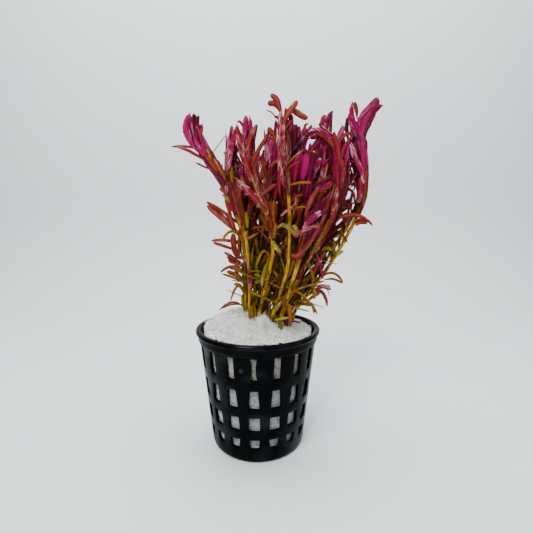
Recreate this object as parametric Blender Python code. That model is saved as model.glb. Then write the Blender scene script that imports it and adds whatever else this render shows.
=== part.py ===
"""A bunch of leafy red aquarium stems planted in white filter wool in a black net pot.

Metres, +Z up. The origin is in the middle of the pot's flat underside and the
front of the bunch faces -Y. Stems grow from the wool and each ends in a crown
of long wet leaves that cling together.
"""

import itertools
import math
import random
from collections import namedtuple

import bmesh
import bpy
import numpy as np
from mathutils import Vector

MM = 0.001
GAP = 0.3 * MM
SEED = 11

# The net pot: a tapered cup with a rolled lip and rows of square windows.
POT_HEIGHT = 48.0 * MM
RIM_RADIUS = 25.5 * MM
LIP_INNER_RADIUS = 23.3 * MM
LIP_HEIGHT = 1.7 * MM
COLLAR_RADIUS = 24.6 * MM
COLLAR_HEIGHT = 4.4 * MM
WALL_TOP_RADIUS = 23.8 * MM
WALL_BOTTOM_RADIUS = 19.2 * MM
WALL = 1.2 * MM
BASE_RADIUS = 17.6 * MM
BASE_CORNER = 1.8 * MM
BASE_SLOT_RADII = (6.0 * MM, 14.5 * MM)
BASE_SLOT_WIDTHS = (0.9 * MM, 2.2 * MM)
PLAIN_STRIP = 3.0 * MM
COLUMNS = 18
FRONT_AZIMUTH = math.radians(-92.5)
COLUMN_SPREAD = math.radians(2.4)  # the columns beside the front one stand this much further from it
# Each row of windows: height of its bottom and top, then its width at each.
WINDOW_ROWS = (
    (6.1 * MM, 9.9 * MM, 3.0 * MM, 4.0 * MM),
    (13.6 * MM, 19.2 * MM, 4.2 * MM, 4.0 * MM),
    (22.9 * MM, 30.1 * MM, 3.9 * MM, 3.0 * MM),
    (34.3 * MM, 42.7 * MM, 2.7 * MM, 2.7 * MM),
)

# The filter wool: packed against the wall and heaped round the stems.
WOOL_BOTTOM = 1.6 * MM
WOOL_EDGE_HEIGHT = 45.6 * MM
WOOL_HEAP = 7.5 * MM
WOOL_HEAP_CENTRE = (-4.0 * MM, 1.0 * MM)
WOOL_HEAP_SPREAD = 12.0 * MM
WOOL_LUMP = 0.5 * MM
WOOL_RINGS = (17.0 * MM, 8.0 * MM, 0.0)
WOOL_EXIT = WOOL_EDGE_HEIGHT + WOOL_HEAP + 1.5 * MM

# Stems and leaves.
STEM_BOTTOM = 27.0 * MM
STEM_SIDES = 5
STEM_RADIUS = 0.9 * MM
SHEATH_RADIUS = 1.5 * MM
SHEATH_START = 0.62
NODE_SPACING = 18.5 * MM
FIRST_NODE = 57.0 * MM
LONGEST_BAND = 24.0 * MM
LEAF_WIDTH = 2.5 * MM
LEAF_THICKNESS = 0.5 * MM
LEAF_LENGTHS = (8.0 * MM, 14.0 * MM)
LEAF_LEANS = (35, 65)
# Along a leaf, the share of its full width that it has at each place before its tip.
LEAF_OUTLINE = ((0.0, 0.4), (0.32, 0.9), (0.82, 0.9))
LEAF_SIDES = 3
LEAF_ROOT = 0.4
TURNS_TRIED = (0, 20, -20, 40, -40, 60, -60)

# Crowns: how far each has swollen from the stem to its full size, part of the way up,
# and where on it the pairs of side leaves grow.
CROWN_SIDES = 5
CROWN_SWELL = ((0.0, 0.0), (0.35, 0.3), (0.68, 1.0), (0.92, 1.0), (1.0, 0.85))
CROWN_RINGS = (0.0, 0.4, 0.8, 1.0)
CROWN_NODES = (0.2, 0.5)
SHORT_CROWN = 28.5 * MM
TOP_WAIST = 0.55
CROWN_LEAF_WIDTH = 2.8 * MM
CROWN_LEAF_THICKNESS = 0.7 * MM
CROWN_LEAF_LENGTHS = (10.0 * MM, 15.0 * MM)
CROWN_LEANS = (18, 36)

# One stem: its route above the wool, then on along the axis of its crown, the
# crown's width, depth and length, and the ends of its topmost leaves, all in mm.
Shoot = namedtuple("Shoot", "route crown width depth bundle tips")
SHOOTS = {
    "01": Shoot(
        ((-5.5, 0.5, 50), (-5, 0, 70), (-6.5, -0.5, 86), (-9.5, 0, 97), (-14.5, 1, 108), (-20.5, 2, 118)),
        ((-25, 2.5, 126.5),), 7, 5, 38,
        ((-29.4, 3, 129), (-27, 1.5, 134), (-23.5, 3, 133.5), (-21.2, 1, 129.5)),
    ),
    "02": Shoot(
        ((-4, 3.8, 50), (-5, 4, 72), (-7.5, 5, 90), (-11, 7, 103), (-12, 8, 110)),
        ((-11.5, 8.5, 122),), 4.5, 3.5, 27,
        ((-13.5, 8, 128), (-11, 10, 131.5), (-9, 8, 129)),
    ),
    "03": Shoot(
        ((-0.8, 5.8, 50), (-2, 7, 75), (-3, 9, 95), (-3.5, 11.5, 111)),
        ((-4.5, 12.5, 127),), 5.5, 4.5, 34,
        ((-6.5, 14, 134), (-3.5, 13, 136.5), (-1.5, 12, 131)),
    ),
    "04": Shoot(
        ((-3.2, -2.6, 50), (-3.5, -3.5, 72), (-5, -5, 90), (-7, -6, 99)),
        ((-6.5, -6.5, 107),), 4.5, 4, 18,
        ((-8, -7.5, 111), (-5, -6, 113)),
    ),
    "05": Shoot(
        ((0.3, -5.2, 50), (3, -5.8, 64), (6, -7.5, 78), (5.5, -8.5, 86), (3, -9.5, 97), (-1, -11.5, 108)),
        ((-3, -12, 115),), 4, 3.5, 34,
        ((-7.2, -13.5, 125), (0.6, -12, 125.3), (-4, -10.5, 121)),
    ),
    "06": Shoot(
        ((0.2, 1.2, 50), (1, 1, 75), (3.2, 2, 95), (5, 3, 109)),
        ((4.5, 3, 121),), 5.5, 4.5, 32,
        ((2.5, 3, 128), (4.5, 5, 129.5), (7.5, 3, 128)),
    ),
    "07": Shoot(
        ((5.2, -7.6, 50), (8, -9.3, 61), (11.2, -11, 72), (12, -12, 80), (12, -13, 93), (11.3, -14, 103)),
        ((9.5, -16, 126),), 3.4, 3, 24,
        ((4.5, -16, 134.3), (3.5, -18, 130), (14.4, -16, 132), (17.6, -18, 125.5), (8, -13, 131)),
    ),
    "08": Shoot(
        ((3.6, 3.2, 50), (7, 4, 72), (10, 5, 92), (12.5, 6, 106)),
        ((14.5, 6.5, 122),), 7.5, 5, 34,
        ((12.4, 6, 129.5), (15, 8, 131.5), (18, 6, 128)),
    ),
    "09": Shoot(
        ((6.4, 6.8, 50), (10, 9, 72), (14.5, 13, 95), (17, 15, 111)),
        ((18.5, 16, 125),), 6, 5, 36,
        ((17.5, 16, 133.3), (21, 17.5, 134), (22.5, 15, 129)),
    ),
    "10": Shoot(
        ((10.6, -0.8, 50), (17, 0, 66), (25, 0, 82), (31, -0.5, 96), (33, 0, 108)),
        ((32, -0.5, 116), (29.5, -1, 121.5), (26, -1, 125)), 4, 3.5, 40,
        ((20.5, -1, 126), (19, -2.5, 122.5), (24, 0.5, 129.5)),
    ),
    "11": Shoot(
        ((9.6, 5.2, 50), (15, 7, 72), (22, 9, 92), (26, 11, 108)),
        ((29, 12, 126),), 6.5, 4.5, 36,
        ((31.8, 12.5, 138.5), (27, 11.5, 135.5), (25, 13, 131)),
    ),
    "12": Shoot(
        ((11.6, -3.6, 50), (14.4, -4, 62), (19.5, -5.5, 75), (25, -7, 85), (30, -8.5, 96),
         (31.5, -9.5, 105)),
        ((30.5, -10.5, 117),), 6, 4.5, 36,
        ((30.7, -11, 125.5), (35.3, -12, 122.5), (27.8, -10, 123)),
    ),
    "13": Shoot(
        ((12.9, 3, 50), (20, 3.5, 62), (30, 4.5, 77), (39, 5.5, 92), (43.3, 6, 104)),
        ((40.5, 6, 128),), 6, 5, 36,
        ((38, 7, 139.4), (37.3, 4.5, 134.5), (41.5, 7, 134)),
    ),
    "14": Shoot(
        ((14.1, -0.9, 50), (19.5, -0.8, 60), (29, -0.5, 73), (37.5, -0.5, 88), (42.3, 0, 100)),
        ((43.3, 0, 113), (41.8, 0, 124), (45, 0, 133.5)), 5, 4, 42,
        ((47, 0, 139.3), (49, -0.5, 136), (44.5, 1, 137.8)),
    ),
    "15": Shoot(
        ((6.3, -4.4, 50), (10.5, -5.5, 68), (14.5, -7, 86), (16.5, -9, 97)),
        ((18, -12, 111),), 8, 5, 30,
        ((15, -13, 117), (19, -14, 118.5), (22, -12, 115)),
    ),
    "16": Shoot(
        ((7.4, -1.6, 50), (11, -2, 68), (16, -3, 85), (20, -4.5, 99)),
        ((24, -6, 112),), 6, 4.5, 32,
        ((22.5, -6.5, 118), (26, -6, 119.5), (27.5, -7, 115)),
    ),
    "17": Shoot(
        ((9, -7, 50), (12, -9, 62), (15, -11.5, 74), (17.5, -14.5, 83)),
        ((21.5, -17, 92),), 5.5, 4.5, 20,
        ((24.5, -18, 98.5), (25.5, -17, 94.5), (21, -19, 97)),
    ),
    "18": Shoot(
        ((-3.5, 7, 50), (-5, 10.5, 75), (-8, 15, 93), (-10, 18, 103)),
        ((-11, 20, 114),), 6, 5, 28,
        ((-13.5, 21, 119), (-10, 22.5, 121), (-8.5, 19, 118)),
    ),
    "19": Shoot(
        ((3, 9, 50), (3.5, 13.5, 75), (4.5, 18, 94), (5, 20.5, 105)),
        ((5, 22.5, 117),), 6.5, 5, 30,
        ((2.5, 24, 122.5), (5.5, 25.5, 124.5), (8, 22.5, 121)),
    ),
    "20": Shoot(
        ((8.8, 9.8, 50), (12, 14, 72), (17, 19.5, 91), (20, 22.5, 102)),
        ((22, 24.5, 113),), 6, 5, 28,
        ((24.5, 24.5, 119), (22, 27, 121), (19.5, 25, 117)),
    ),
}

# How far left and right the bunch reaches at each height, in mm.
BUNCH_REACH = ((50, -17, 28), (70, -16, 34), (90, -20, 42), (105, -23, 46), (125, -31, 47), (140, -30, 48))

# Side leaves with a place of their own: the stem, the height that they leave it
# at, the leaf's end and how far its middle is lifted above the straight line.
OUTER_LEAVES = (
    ("01", 117.5, (-33.8, -1, 120), 1.5),
    ("01", 116.5, (-12, -4, 123.5), 0),
    ("01", 94, (-13.5, -5, 101.5), 1),
    ("01", 88, (-20, -4, 98.6), 1),
    ("01", 84, (-13.8, -8, 82.8), 4),
    ("01", 80, (-19.5, 3, 83.2), 1.5),
    ("01", 73, (-13, -6, 79.2), 0),
    ("01", 69, (-15.1, -3, 70.6), 3),
    ("01", 65, (-10.7, -6, 59.4), 4),
    ("01", 57, (-15.4, -5, 55.5), 2.5),
    ("05", 94, (-7.3, -14, 105), 1),
    ("05", 83.5, (13, -16.5, 75.3), 3),
    ("05", 79.5, (-0.3, -12, 74), 4),
    ("07", 88, (15.1, -14, 85.2), 3),
    ("07", 98.5, (19, -18, 103.9), 2),
    ("12", 88, (41.4, -9, 91.9), 3),
    ("14", 89, (44.9, -5, 89.3), 3),
    ("14", 69, (34, -5, 66.8), 3),
    ("12", 62, (23.6, -8, 54.4), 3),
    ("14", 66, (28.2, -4, 56.9), 3),
    ("17", 62, (12.5, -16, 52.0), 4),
    ("14", 98, (33.9, -3, 104.4), 3),
    ("14", 92, (31.8, -4, 98.2), 3),
)


class Route:
    """A smooth centre line through a stem's waypoints, which its crown takes the last part of."""

    def __init__(self, knots, bundle, step=1.0 * MM):
        padded = [knots[0] * 2 - knots[1], *knots, knots[-1] * 2 - knots[-2]]
        self.points = []
        for a, b, c, d in zip(padded, padded[1:], padded[2:], padded[3:]):
            count = max(2, round((c - b).length / step))
            for k in range(count):
                t = k / count
                bend = (2 * a - 5 * b + 4 * c - d) * t**2 + (3 * b - a - 3 * c + d) * t**3
                self.points.append(0.5 * (2 * b + (c - a) * t + bend))
        self.points.append(knots[-1])
        steps = [(b - a).length for a, b in zip(self.points, self.points[1:])]
        self.distances = [0.0, *np.cumsum(steps)]
        self.length = self.distances[-1]
        self.stem_length = self.length - bundle

    def at(self, distance):
        k = min(max(int(np.searchsorted(self.distances, distance)), 1), len(self.points) - 1)
        start, end = self.distances[k - 1], self.distances[k]
        return self.points[k - 1].lerp(self.points[k], (distance - start) / (end - start))

    def heading(self, distance, reach=2.0 * MM):
        low = max(distance - reach, 0.0)
        high = min(distance + reach, self.length)
        return (self.at(high) - self.at(low)).normalized()

    def distance_at_height(self, height):
        heights = [point.z for point in self.points]
        return float(np.interp(height, heights, self.distances))


def across_of(heading):
    """The sideways direction of a ring round this heading, as near to +X as it can be."""
    return (Vector((1, 0, 0)) - heading * heading.x).normalized()


def millimetres(points):
    return [Vector(point) * MM for point in points]


def wool_surface(x, y):
    """Height of the heaped wool at a place inside the rim."""
    dx, dy = x - WOOL_HEAP_CENTRE[0], y - WOOL_HEAP_CENTRE[1]
    heap = math.exp(-(dx * dx + dy * dy) / (2 * WOOL_HEAP_SPREAD**2))
    return WOOL_EDGE_HEIGHT + WOOL_HEAP * heap


def wall_radius(height):
    share = (height - BASE_CORNER) / (WINDOW_ROWS[-1][1] - BASE_CORNER)
    return WALL_BOTTOM_RADIUS + (WALL_TOP_RADIUS - WALL_BOTTOM_RADIUS) * share


def material(name, colour, roughness):
    made = bpy.data.materials.new(name)
    made.use_nodes = True
    shader = made.node_tree.nodes["Principled BSDF"]
    shader.inputs["Base Color"].default_value = (*colour, 1.0)
    shader.inputs["Roughness"].default_value = roughness
    shader.inputs["Metallic"].default_value = 0.0
    made.diffuse_color = (*colour, 1.0)
    return made


def finish(bm, name, surface, collection, smooth_angle=35):
    """Turns the bmesh into a named object with one material."""
    bmesh.ops.recalc_face_normals(bm, faces=bm.faces)
    mesh = bpy.data.meshes.new(name)
    bm.to_mesh(mesh)
    bm.free()
    mesh.materials.append(surface)
    mesh.shade_smooth()
    mesh.set_sharp_from_angle(angle=math.radians(smooth_angle))
    made = bpy.data.objects.new(name, mesh)
    collection.objects.link(made)
    return made


def turned(profile, azimuths):
    """A grid wrapped round Z. Each profile row has a radius, a height and its own azimuths.

    Returns the bmesh, still open along one seam, and its vertices by column and row.
    """
    columns, rows = len(azimuths[0]) - 1, len(profile) - 1
    bm = bmesh.new()
    bmesh.ops.create_grid(bm, x_segments=columns, y_segments=rows, size=1.0)
    grid = {}
    for vert in bm.verts:
        i = round((vert.co.x + 1) / 2 * columns)
        j = round((vert.co.y + 1) / 2 * rows)
        radius, height = profile[j]
        angle = azimuths[j][i]
        vert.co = (radius * math.cos(angle), radius * math.sin(angle), height)
        grid[i, j] = vert
    return bm, grid


def cut_window(bm, grid, column, outer_row, inner_row):
    """Opens the outer and the inner wall at one cell each and joins the two edges."""
    faces = []
    for row in (outer_row, inner_row):
        corners = [grid[column + i, row + j] for i, j in ((0, 0), (1, 0), (1, 1), (0, 1))]
        faces.append(bm.faces.get(corners))
    edges = [edge for face in faces for edge in face.edges]
    bmesh.ops.delete(bm, geom=faces, context="FACES_ONLY")
    bmesh.ops.bridge_loops(bm, edges=edges)


def column_azimuth(column):
    """Direction of a column of windows, counted round from the front one."""
    steps = min(column, COLUMNS - column, 4)
    spread = COLUMN_SPREAD * math.sin(math.pi / 4 * steps)
    spread = math.copysign(spread, COLUMNS / 2 - column)
    return FRONT_AZIMUTH + 2 * math.pi / COLUMNS * column + spread


def build_pot(collection):
    collar_bottom = POT_HEIGHT - COLLAR_HEIGHT
    lip_bottom = POT_HEIGHT - LIP_HEIGHT
    slot_in, slot_out = BASE_SLOT_RADII
    # Outer side from the middle of the base up to the lip: radius, height, window width.
    outer = [(0, 0, 0), (slot_in, 0, BASE_SLOT_WIDTHS[0]), (slot_out, 0, BASE_SLOT_WIDTHS[1])]
    outer += [(BASE_RADIUS, 0, PLAIN_STRIP), (WALL_BOTTOM_RADIUS, BASE_CORNER, PLAIN_STRIP)]
    for bottom, top, wide_low, wide_high in WINDOW_ROWS:
        outer += [(wall_radius(bottom), bottom, wide_low), (wall_radius(top), top, wide_high)]
    lip = [(COLLAR_RADIUS, collar_bottom), (COLLAR_RADIUS, lip_bottom)]
    lip += [(RIM_RADIUS, lip_bottom + 0.3 * MM), (RIM_RADIUS - 0.1 * MM, POT_HEIGHT)]
    lip += [(LIP_INNER_RADIUS, POT_HEIGHT)]
    lip = [(radius, height, math.radians(180 / COLUMNS) * radius) for radius, height in lip]
    # Inner side back down: the wall's windows again, then the floor.
    inner = [(radius - WALL, height, wide) for radius, height, wide in reversed(outer[5:])]
    inner += [(BASE_RADIUS - GAP, WALL, PLAIN_STRIP)]
    inner += [(radius, WALL, wide) for radius, _, wide in reversed(outer[:3])]
    rows = outer + lip + inner

    pitch = 2 * math.pi / COLUMNS
    azimuths = []
    for radius, _, wide in rows:
        half = wide / 2 / radius if radius else pitch / 4
        centres = [column_azimuth(k) for k in range(COLUMNS)]
        edges = [centre + side for centre in centres for side in (-half, half)]
        azimuths.append(edges + [edges[0] + 2 * math.pi])
    bm, grid = turned([(radius, height) for radius, height, _ in rows], azimuths)

    last = len(rows) - 1
    wall_rows = [5 + 2 * k for k in range(len(WINDOW_ROWS))]
    for k in range(COLUMNS):
        column = 2 * k
        cut_window(bm, grid, column, 1, last - 2)
        for n, row in enumerate(wall_rows):
            first_inner = len(outer) + len(lip)
            mirrored = first_inner + 2 * (len(WINDOW_ROWS) - 1 - n)
            cut_window(bm, grid, column, row, mirrored)
    bmesh.ops.remove_doubles(bm, verts=bm.verts, dist=0.01 * MM)
    surface = material("black_pot_plastic", (0.012, 0.015, 0.017), 0.35)
    return finish(bm, "net_pot", surface, collection)


def build_wool(collection, cutters):
    inside = WALL + GAP
    profile = [(0, WOOL_BOTTOM), (BASE_RADIUS - 1.0 * MM, WOOL_BOTTOM)]
    profile += [(wall_radius(top) - inside, top) for _, top, _, _ in (WINDOW_ROWS[0], WINDOW_ROWS[-1])]
    profile += [(LIP_INNER_RADIUS - 2 * GAP, WOOL_EDGE_HEIGHT)]
    profile += [(radius, 0) for radius in WOOL_RINGS]
    pitch = 2 * math.pi / COLUMNS
    azimuths = [[FRONT_AZIMUTH + pitch * k for k in range(COLUMNS + 1)]] * len(profile)
    bm, _ = turned(profile, azimuths)
    bmesh.ops.remove_doubles(bm, verts=bm.verts, dist=0.01 * MM)
    lumps = random.Random(SEED)
    for vert in bm.verts:
        if vert.co.z == 0:
            vert.co.z = wool_surface(vert.co.x, vert.co.y) + lumps.uniform(-WOOL_LUMP, WOOL_LUMP)
    surface = material("white_filter_wool", (0.72, 0.73, 0.71), 0.95)
    wool = finish(bm, "wool_plug", surface, collection, 80)
    sockets = wool.modifiers.new("stem_sockets", "BOOLEAN")
    sockets.operation = "DIFFERENCE"
    sockets.operand_type = "COLLECTION"
    sockets.collection = cutters
    return wool


def extend(bm, face, targets):
    """Extrudes a face, puts its corners on the targets and returns the new end face."""
    grown = bmesh.ops.extrude_discrete_faces(bm, faces=[face])["faces"][0]
    for vert, target in zip(grown.verts, targets):
        vert.co = target
    return grown


def add_rod(bm, rings, sides, tip=None):
    """Adds a closed rod through rings of points, which ends flat or is drawn to a tip."""
    cone = bmesh.ops.create_cone(bm, cap_ends=True, segments=sides, radius1=1, radius2=1, depth=2)
    places = {}
    for vert in cone["verts"]:
        turn = math.atan2(vert.co.y, vert.co.x) / math.tau
        places[vert] = (vert.co.z > 0, round(turn * sides) % sides)
    upper = {vert for vert, (is_upper, _) in places.items() if is_upper}
    end = next(face for face in next(iter(upper)).link_faces if set(face.verts) == upper)
    numbers = [places[vert][1] for vert in end.verts]
    for vert, (is_upper, k) in places.items():
        vert.co = rings[1 if is_upper else 0][k]
    for points in rings[2:]:
        end = extend(bm, end, [points[k] for k in numbers])
    if tip is not None:
        bmesh.ops.poke(bm, faces=[end])["verts"][0].co = tip


def ring(centre, heading, half_width, half_depth, sides, turn=0.0):
    across = across_of(heading)
    back = heading.cross(across).normalized()
    points = []
    for k in range(sides):
        angle = 2 * math.pi * (k + turn) / sides
        aside = across * math.cos(angle) * half_width
        points.append(centre + aside + back * math.sin(angle) * half_depth)
    return points


def bezier(start, control, end, t):
    return start * (1 - t) ** 2 + control * 2 * t * (1 - t) + end * t**2


def add_blade(bm, leaf):
    """Adds a leaf with a keeled underside, from a narrow root inside its rod to its tip."""
    flat = leaf.axis.cross(leaf.outward).normalized()
    rings = []
    for t, fullness in LEAF_OUTLINE:
        centre = bezier(leaf.start, leaf.control, leaf.tip, t)
        along = (bezier(leaf.start, leaf.control, leaf.tip, t + 0.05) - centre).normalized()
        wide = (flat - along * flat.dot(along)).normalized()
        edge = wide * (leaf.width / 2 * fullness)
        keel = wide.cross(along) * leaf.thickness
        rings.append([centre + edge, centre + keel, centre - edge])
    add_rod(bm, rings, LEAF_SIDES, leaf.tip)


class Space:
    """The room that stems, crowns and leaves already take, as balls along their centre lines."""

    def __init__(self):
        self.centres = []
        self.radii = []
        self.owners = []

    def take(self, owner, points, radii):
        self.centres += [tuple(point) for point in points]
        self.radii += list(radii)
        self.owners += [owner] * len(points)

    def is_free(self, owner, points, radius):
        centres = np.array(self.centres)
        radii = np.array(self.radii)
        others = np.array(self.owners) != owner
        for point in points:
            distance = np.linalg.norm(centres - np.array(point), axis=1)
            if np.any((distance < radii + radius + GAP) & others):
                return False
            beyond_rim = math.hypot(point.x, point.y) > LIP_INNER_RADIUS - 2 * MM
            floor = POT_HEIGHT if beyond_rim else wool_surface(point.x, point.y) + WOOL_LUMP
            if point.z - radius * 0.5 < floor + GAP:
                return False
            heights, left, right = np.transpose(BUNCH_REACH) * MM
            if not np.interp(point.z, heights, left) < point.x < np.interp(point.z, heights, right):
                return False
        return True


Leaf = namedtuple("Leaf", "distance axis outward start control tip width thickness")


def leaf_samples(start, control, tip, skip=2.2 * MM):
    length = (tip - start).length
    points = [bezier(start, control, tip, k / 12) for k in range(1, 13)]
    return [point for point in points if (point - start).length > min(skip, length * 0.4)]


def half_sizes(shoot, route, distance):
    """Half the width and half the depth of a shoot: a bare stem, then its sheath, then its crown."""
    share = distance / route.stem_length
    if share <= 1:
        grown = max(0.0, (share - SHEATH_START) / (1 - SHEATH_START))
        radius = STEM_RADIUS + (SHEATH_RADIUS - STEM_RADIUS) * grown**0.7
        return radius, radius
    share = (distance - route.stem_length) / (route.length - route.stem_length)
    base = SHEATH_RADIUS * 0.95
    swell = float(np.interp(share, *zip(*CROWN_SWELL)))
    return tuple(base + (size / 2 * MM - base) * swell for size in (shoot.width, shoot.depth))


def plan_outer_leaves(name, route, space):
    leaves = []
    for owner, height, tip, lift in OUTER_LEAVES:
        if owner != name:
            continue
        distance = route.distance_at_height(height * MM)
        start, end = route.at(distance), Vector(tip) * MM
        heading = route.heading(distance)
        outward = (end - start) - heading * (end - start).dot(heading)
        control = (start + end) / 2 + Vector((0, 0, 2 * lift * MM))
        size = (LEAF_WIDTH, LEAF_THICKNESS)
        leaves.append(Leaf(distance, heading, outward.normalized(), start, control, end, *size))
        samples = leaf_samples(start, control, end)
        space.take(name + "_leaf", samples, [LEAF_WIDTH / 2] * len(samples))
    return leaves


def plan_pair(name, shoot, route, distance, azimuth, kind, space, draw):
    """Two opposite leaves at one node, each turned or shortened until it is clear of the rest."""
    width, thickness, lengths, leans = kind
    heading = route.heading(distance)
    across = across_of(heading)
    back = heading.cross(across)
    half_width, half_depth = half_sizes(shoot, route, distance)
    leaves = []
    for side in (0, 180):
        length = draw.uniform(*lengths)
        lean = math.radians(draw.uniform(*leans))
        flop = draw.uniform(0.0, 0.5) * math.sin(lean)
        for shrink, offset in itertools.product((1.0, 0.75), TURNS_TRIED):
            angle = math.radians(azimuth + side + offset)
            outward = across * math.cos(angle) + back * math.sin(angle)
            start = route.at(distance) + across * (half_width * math.cos(angle))
            start += back * (half_depth * math.sin(angle))
            rise = heading * math.cos(lean) + outward * math.sin(lean)
            control = start + rise * (length * shrink * 0.5)
            onward = (rise + outward * 0.35 * math.sin(lean) - Vector((0, 0, flop))).normalized()
            tip = control + onward * (length * shrink * 0.5)
            samples = leaf_samples(start, control, tip)
            if space.is_free(name, samples, width / 2):
                root = route.at(distance).lerp(start, LEAF_ROOT)
                leaves.append(Leaf(distance, heading, outward, root, control, tip, width, thickness))
                space.take(name + "_leaf", samples, [width / 2] * len(samples))
                break
    return leaves


def plan_leaves(name, shoot, route, taken, space, draw):
    """Opposite pairs up the whole shoot, each pair a quarter turn from the last."""
    stem_kind = (LEAF_WIDTH, LEAF_THICKNESS, LEAF_LENGTHS, LEAF_LEANS)
    crown_kind = (CROWN_LEAF_WIDTH, CROWN_LEAF_THICKNESS, CROWN_LEAF_LENGTHS, CROWN_LEANS)
    nodes = []
    distance = route.distance_at_height(FIRST_NODE) + draw.uniform(0, NODE_SPACING / 2)
    while distance < route.stem_length - 3 * MM:
        nodes.append((distance, stem_kind))
        distance += NODE_SPACING * draw.uniform(0.85, 1.25)
    crown = route.length - route.stem_length
    shares = CROWN_NODES if crown > SHORT_CROWN else CROWN_NODES[:1]
    nodes += [(route.stem_length + share * crown, crown_kind) for share in shares]
    leaves = []
    azimuth = draw.uniform(0, 360)
    for distance, kind in nodes:
        azimuth += 90 + draw.uniform(-20, 20)
        if all(abs(distance - other) > 2.5 * MM for other in taken):
            leaves += plan_pair(name, shoot, route, distance, azimuth, kind, space, draw)
    return leaves


def rings_along(shoot, route, stations, sides, turn=0.0):
    middles = [(a + b) / 2 for a, b in zip(stations, stations[1:]) if b - a > LONGEST_BAND]
    rings = []
    for distance in sorted([*stations, *middles]):
        half_width, half_depth = half_sizes(shoot, route, distance)
        centre, heading = route.at(distance), route.heading(distance)
        rings.append(ring(centre, heading, half_width, half_depth, sides, turn))
    return rings


def helper(bm, name, helpers):
    """A closed shape that only cuts or joins another and isn't shown."""
    bmesh.ops.recalc_face_normals(bm, faces=bm.faces)
    mesh = bpy.data.meshes.new(name)
    bm.to_mesh(mesh)
    bm.free()
    made = bpy.data.objects.new(name, mesh)
    made.hide_render = True
    made.display_type = "WIRE"
    helpers.objects.link(made)
    return made


def join_leaves(rod, leaves, helpers):
    """Grows the leaves from the rod: a union of the rod and a helper that holds their blades."""
    if not leaves:
        return
    bm = bmesh.new()
    for leaf in leaves:
        add_blade(bm, leaf)
    grown = rod.modifiers.new("grown_leaves", "BOOLEAN")
    grown.operation = "UNION"
    grown.use_self = True
    grown.object = helper(bm, rod.name + "_leaves", helpers)


def build_stem(name, shoot, route, leaves, surface, collection, helpers):
    stations = (route.distance_at_height(WOOL_EXIT), SHEATH_START * route.stem_length, route.stem_length)
    foot = rings_along(shoot, route, (0.0,), STEM_SIDES)
    bm = bmesh.new()
    add_rod(bm, foot + rings_along(shoot, route, stations, STEM_SIDES), STEM_SIDES)
    stem = finish(bm, "stem_" + name, surface, collection)
    join_leaves(stem, [leaf for leaf in leaves if leaf.distance < route.stem_length - MM], helpers)


def build_crown(name, shoot, route, leaves, surface, collection, helpers):
    """A bundle of clinging leaves: a flattened spindle that parts into the leaves' ends."""
    start = route.stem_length + GAP
    stations = [start + share * (route.length - start) for share in CROWN_RINGS]
    rings = rings_along(shoot, route, stations, CROWN_SIDES, 0.25)
    end = route.at(route.length)
    heading = route.heading(route.length)
    tips = sorted(millimetres(shoot.tips), key=lambda tip: -(tip - end).normalized().dot(heading))
    middle = end.lerp(tips[0], 0.5)
    rings.append([middle + (point - end) * TOP_WAIST for point in rings[-1]])
    bm = bmesh.new()
    add_rod(bm, rings, CROWN_SIDES, tips[0])
    crown = finish(bm, "crown_" + name, surface, collection)
    own = [leaf for leaf in leaves if leaf.distance > start + MM]
    for tip in tips[1:]:
        outward = (tip - end) - heading * (tip - end).dot(heading)
        root = route.at(stations[-2])
        control = end.lerp(tip, 0.4) + outward * 0.15
        size = (CROWN_LEAF_WIDTH, CROWN_LEAF_THICKNESS)
        own.append(Leaf(route.length, heading, outward.normalized(), root, control, tip, *size))
    join_leaves(crown, own, helpers)


def build_socket(name, route, cutters):
    """A slightly wider copy of the buried end of a stem, which is cut from the wool."""
    rings = []
    for distance in (0.0, route.distance_at_height(WOOL_EXIT)):
        heading = route.heading(distance)
        centre = route.at(distance) - (heading * GAP if distance == 0.0 else Vector())
        rings.append(ring(centre, heading, STEM_RADIUS + 2 * GAP, STEM_RADIUS + 2 * GAP, STEM_SIDES))
    bm = bmesh.new()
    add_rod(bm, rings, STEM_SIDES)
    helper(bm, "socket_" + name, cutters)


def main():
    for leftover in list(bpy.data.objects):
        bpy.data.objects.remove(leftover, do_unlink=True)
    parts = bpy.data.collections.new("potted_rotala")
    cutters = bpy.data.collections.new("wool_cutters")
    blades = bpy.data.collections.new("leaf_blades")
    for collection in (parts, cutters, blades):
        bpy.context.scene.collection.children.link(collection)
    cutters.hide_render = True
    blades.hide_render = True

    build_pot(parts)
    stem_surface = material("stem_golden_olive", (0.30, 0.13, 0.012), 0.4)
    crown_surface = material("crown_magenta", (0.38, 0.01, 0.09), 0.3)

    space = Space()
    routes = {}
    for name, shoot in SHOOTS.items():
        foot = Vector(shoot.route[0])
        foot.z = STEM_BOTTOM / MM
        route = Route(millimetres([foot, *shoot.route, *shoot.crown]), shoot.bundle * MM)
        routes[name] = route
        for point, distance in zip(route.points, route.distances):
            half_width, half_depth = half_sizes(shoot, route, distance)
            aside = across_of(route.heading(distance)) * (half_width - half_depth)
            space.take(name, [point - aside, point, point + aside], [half_depth] * 3)
        for tip in millimetres(shoot.tips):
            spine = [route.points[-1].lerp(tip, k / 8) for k in range(2, 9)]
            space.take(name + "_tip", spine, [CROWN_LEAF_WIDTH / 2] * len(spine))

    outer = {name: plan_outer_leaves(name, route, space) for name, route in routes.items()}
    draw = random.Random(SEED)
    for name, route in routes.items():
        shoot = SHOOTS[name]
        taken = [leaf.distance for leaf in outer[name]]
        leaves = outer[name] + plan_leaves(name, shoot, route, taken, space, draw)
        build_stem(name, shoot, route, leaves, stem_surface, parts, blades)
        build_crown(name, shoot, route, leaves, crown_surface, parts, blades)
        build_socket(name, route, cutters)
    build_wool(parts, cutters)


main()
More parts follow.
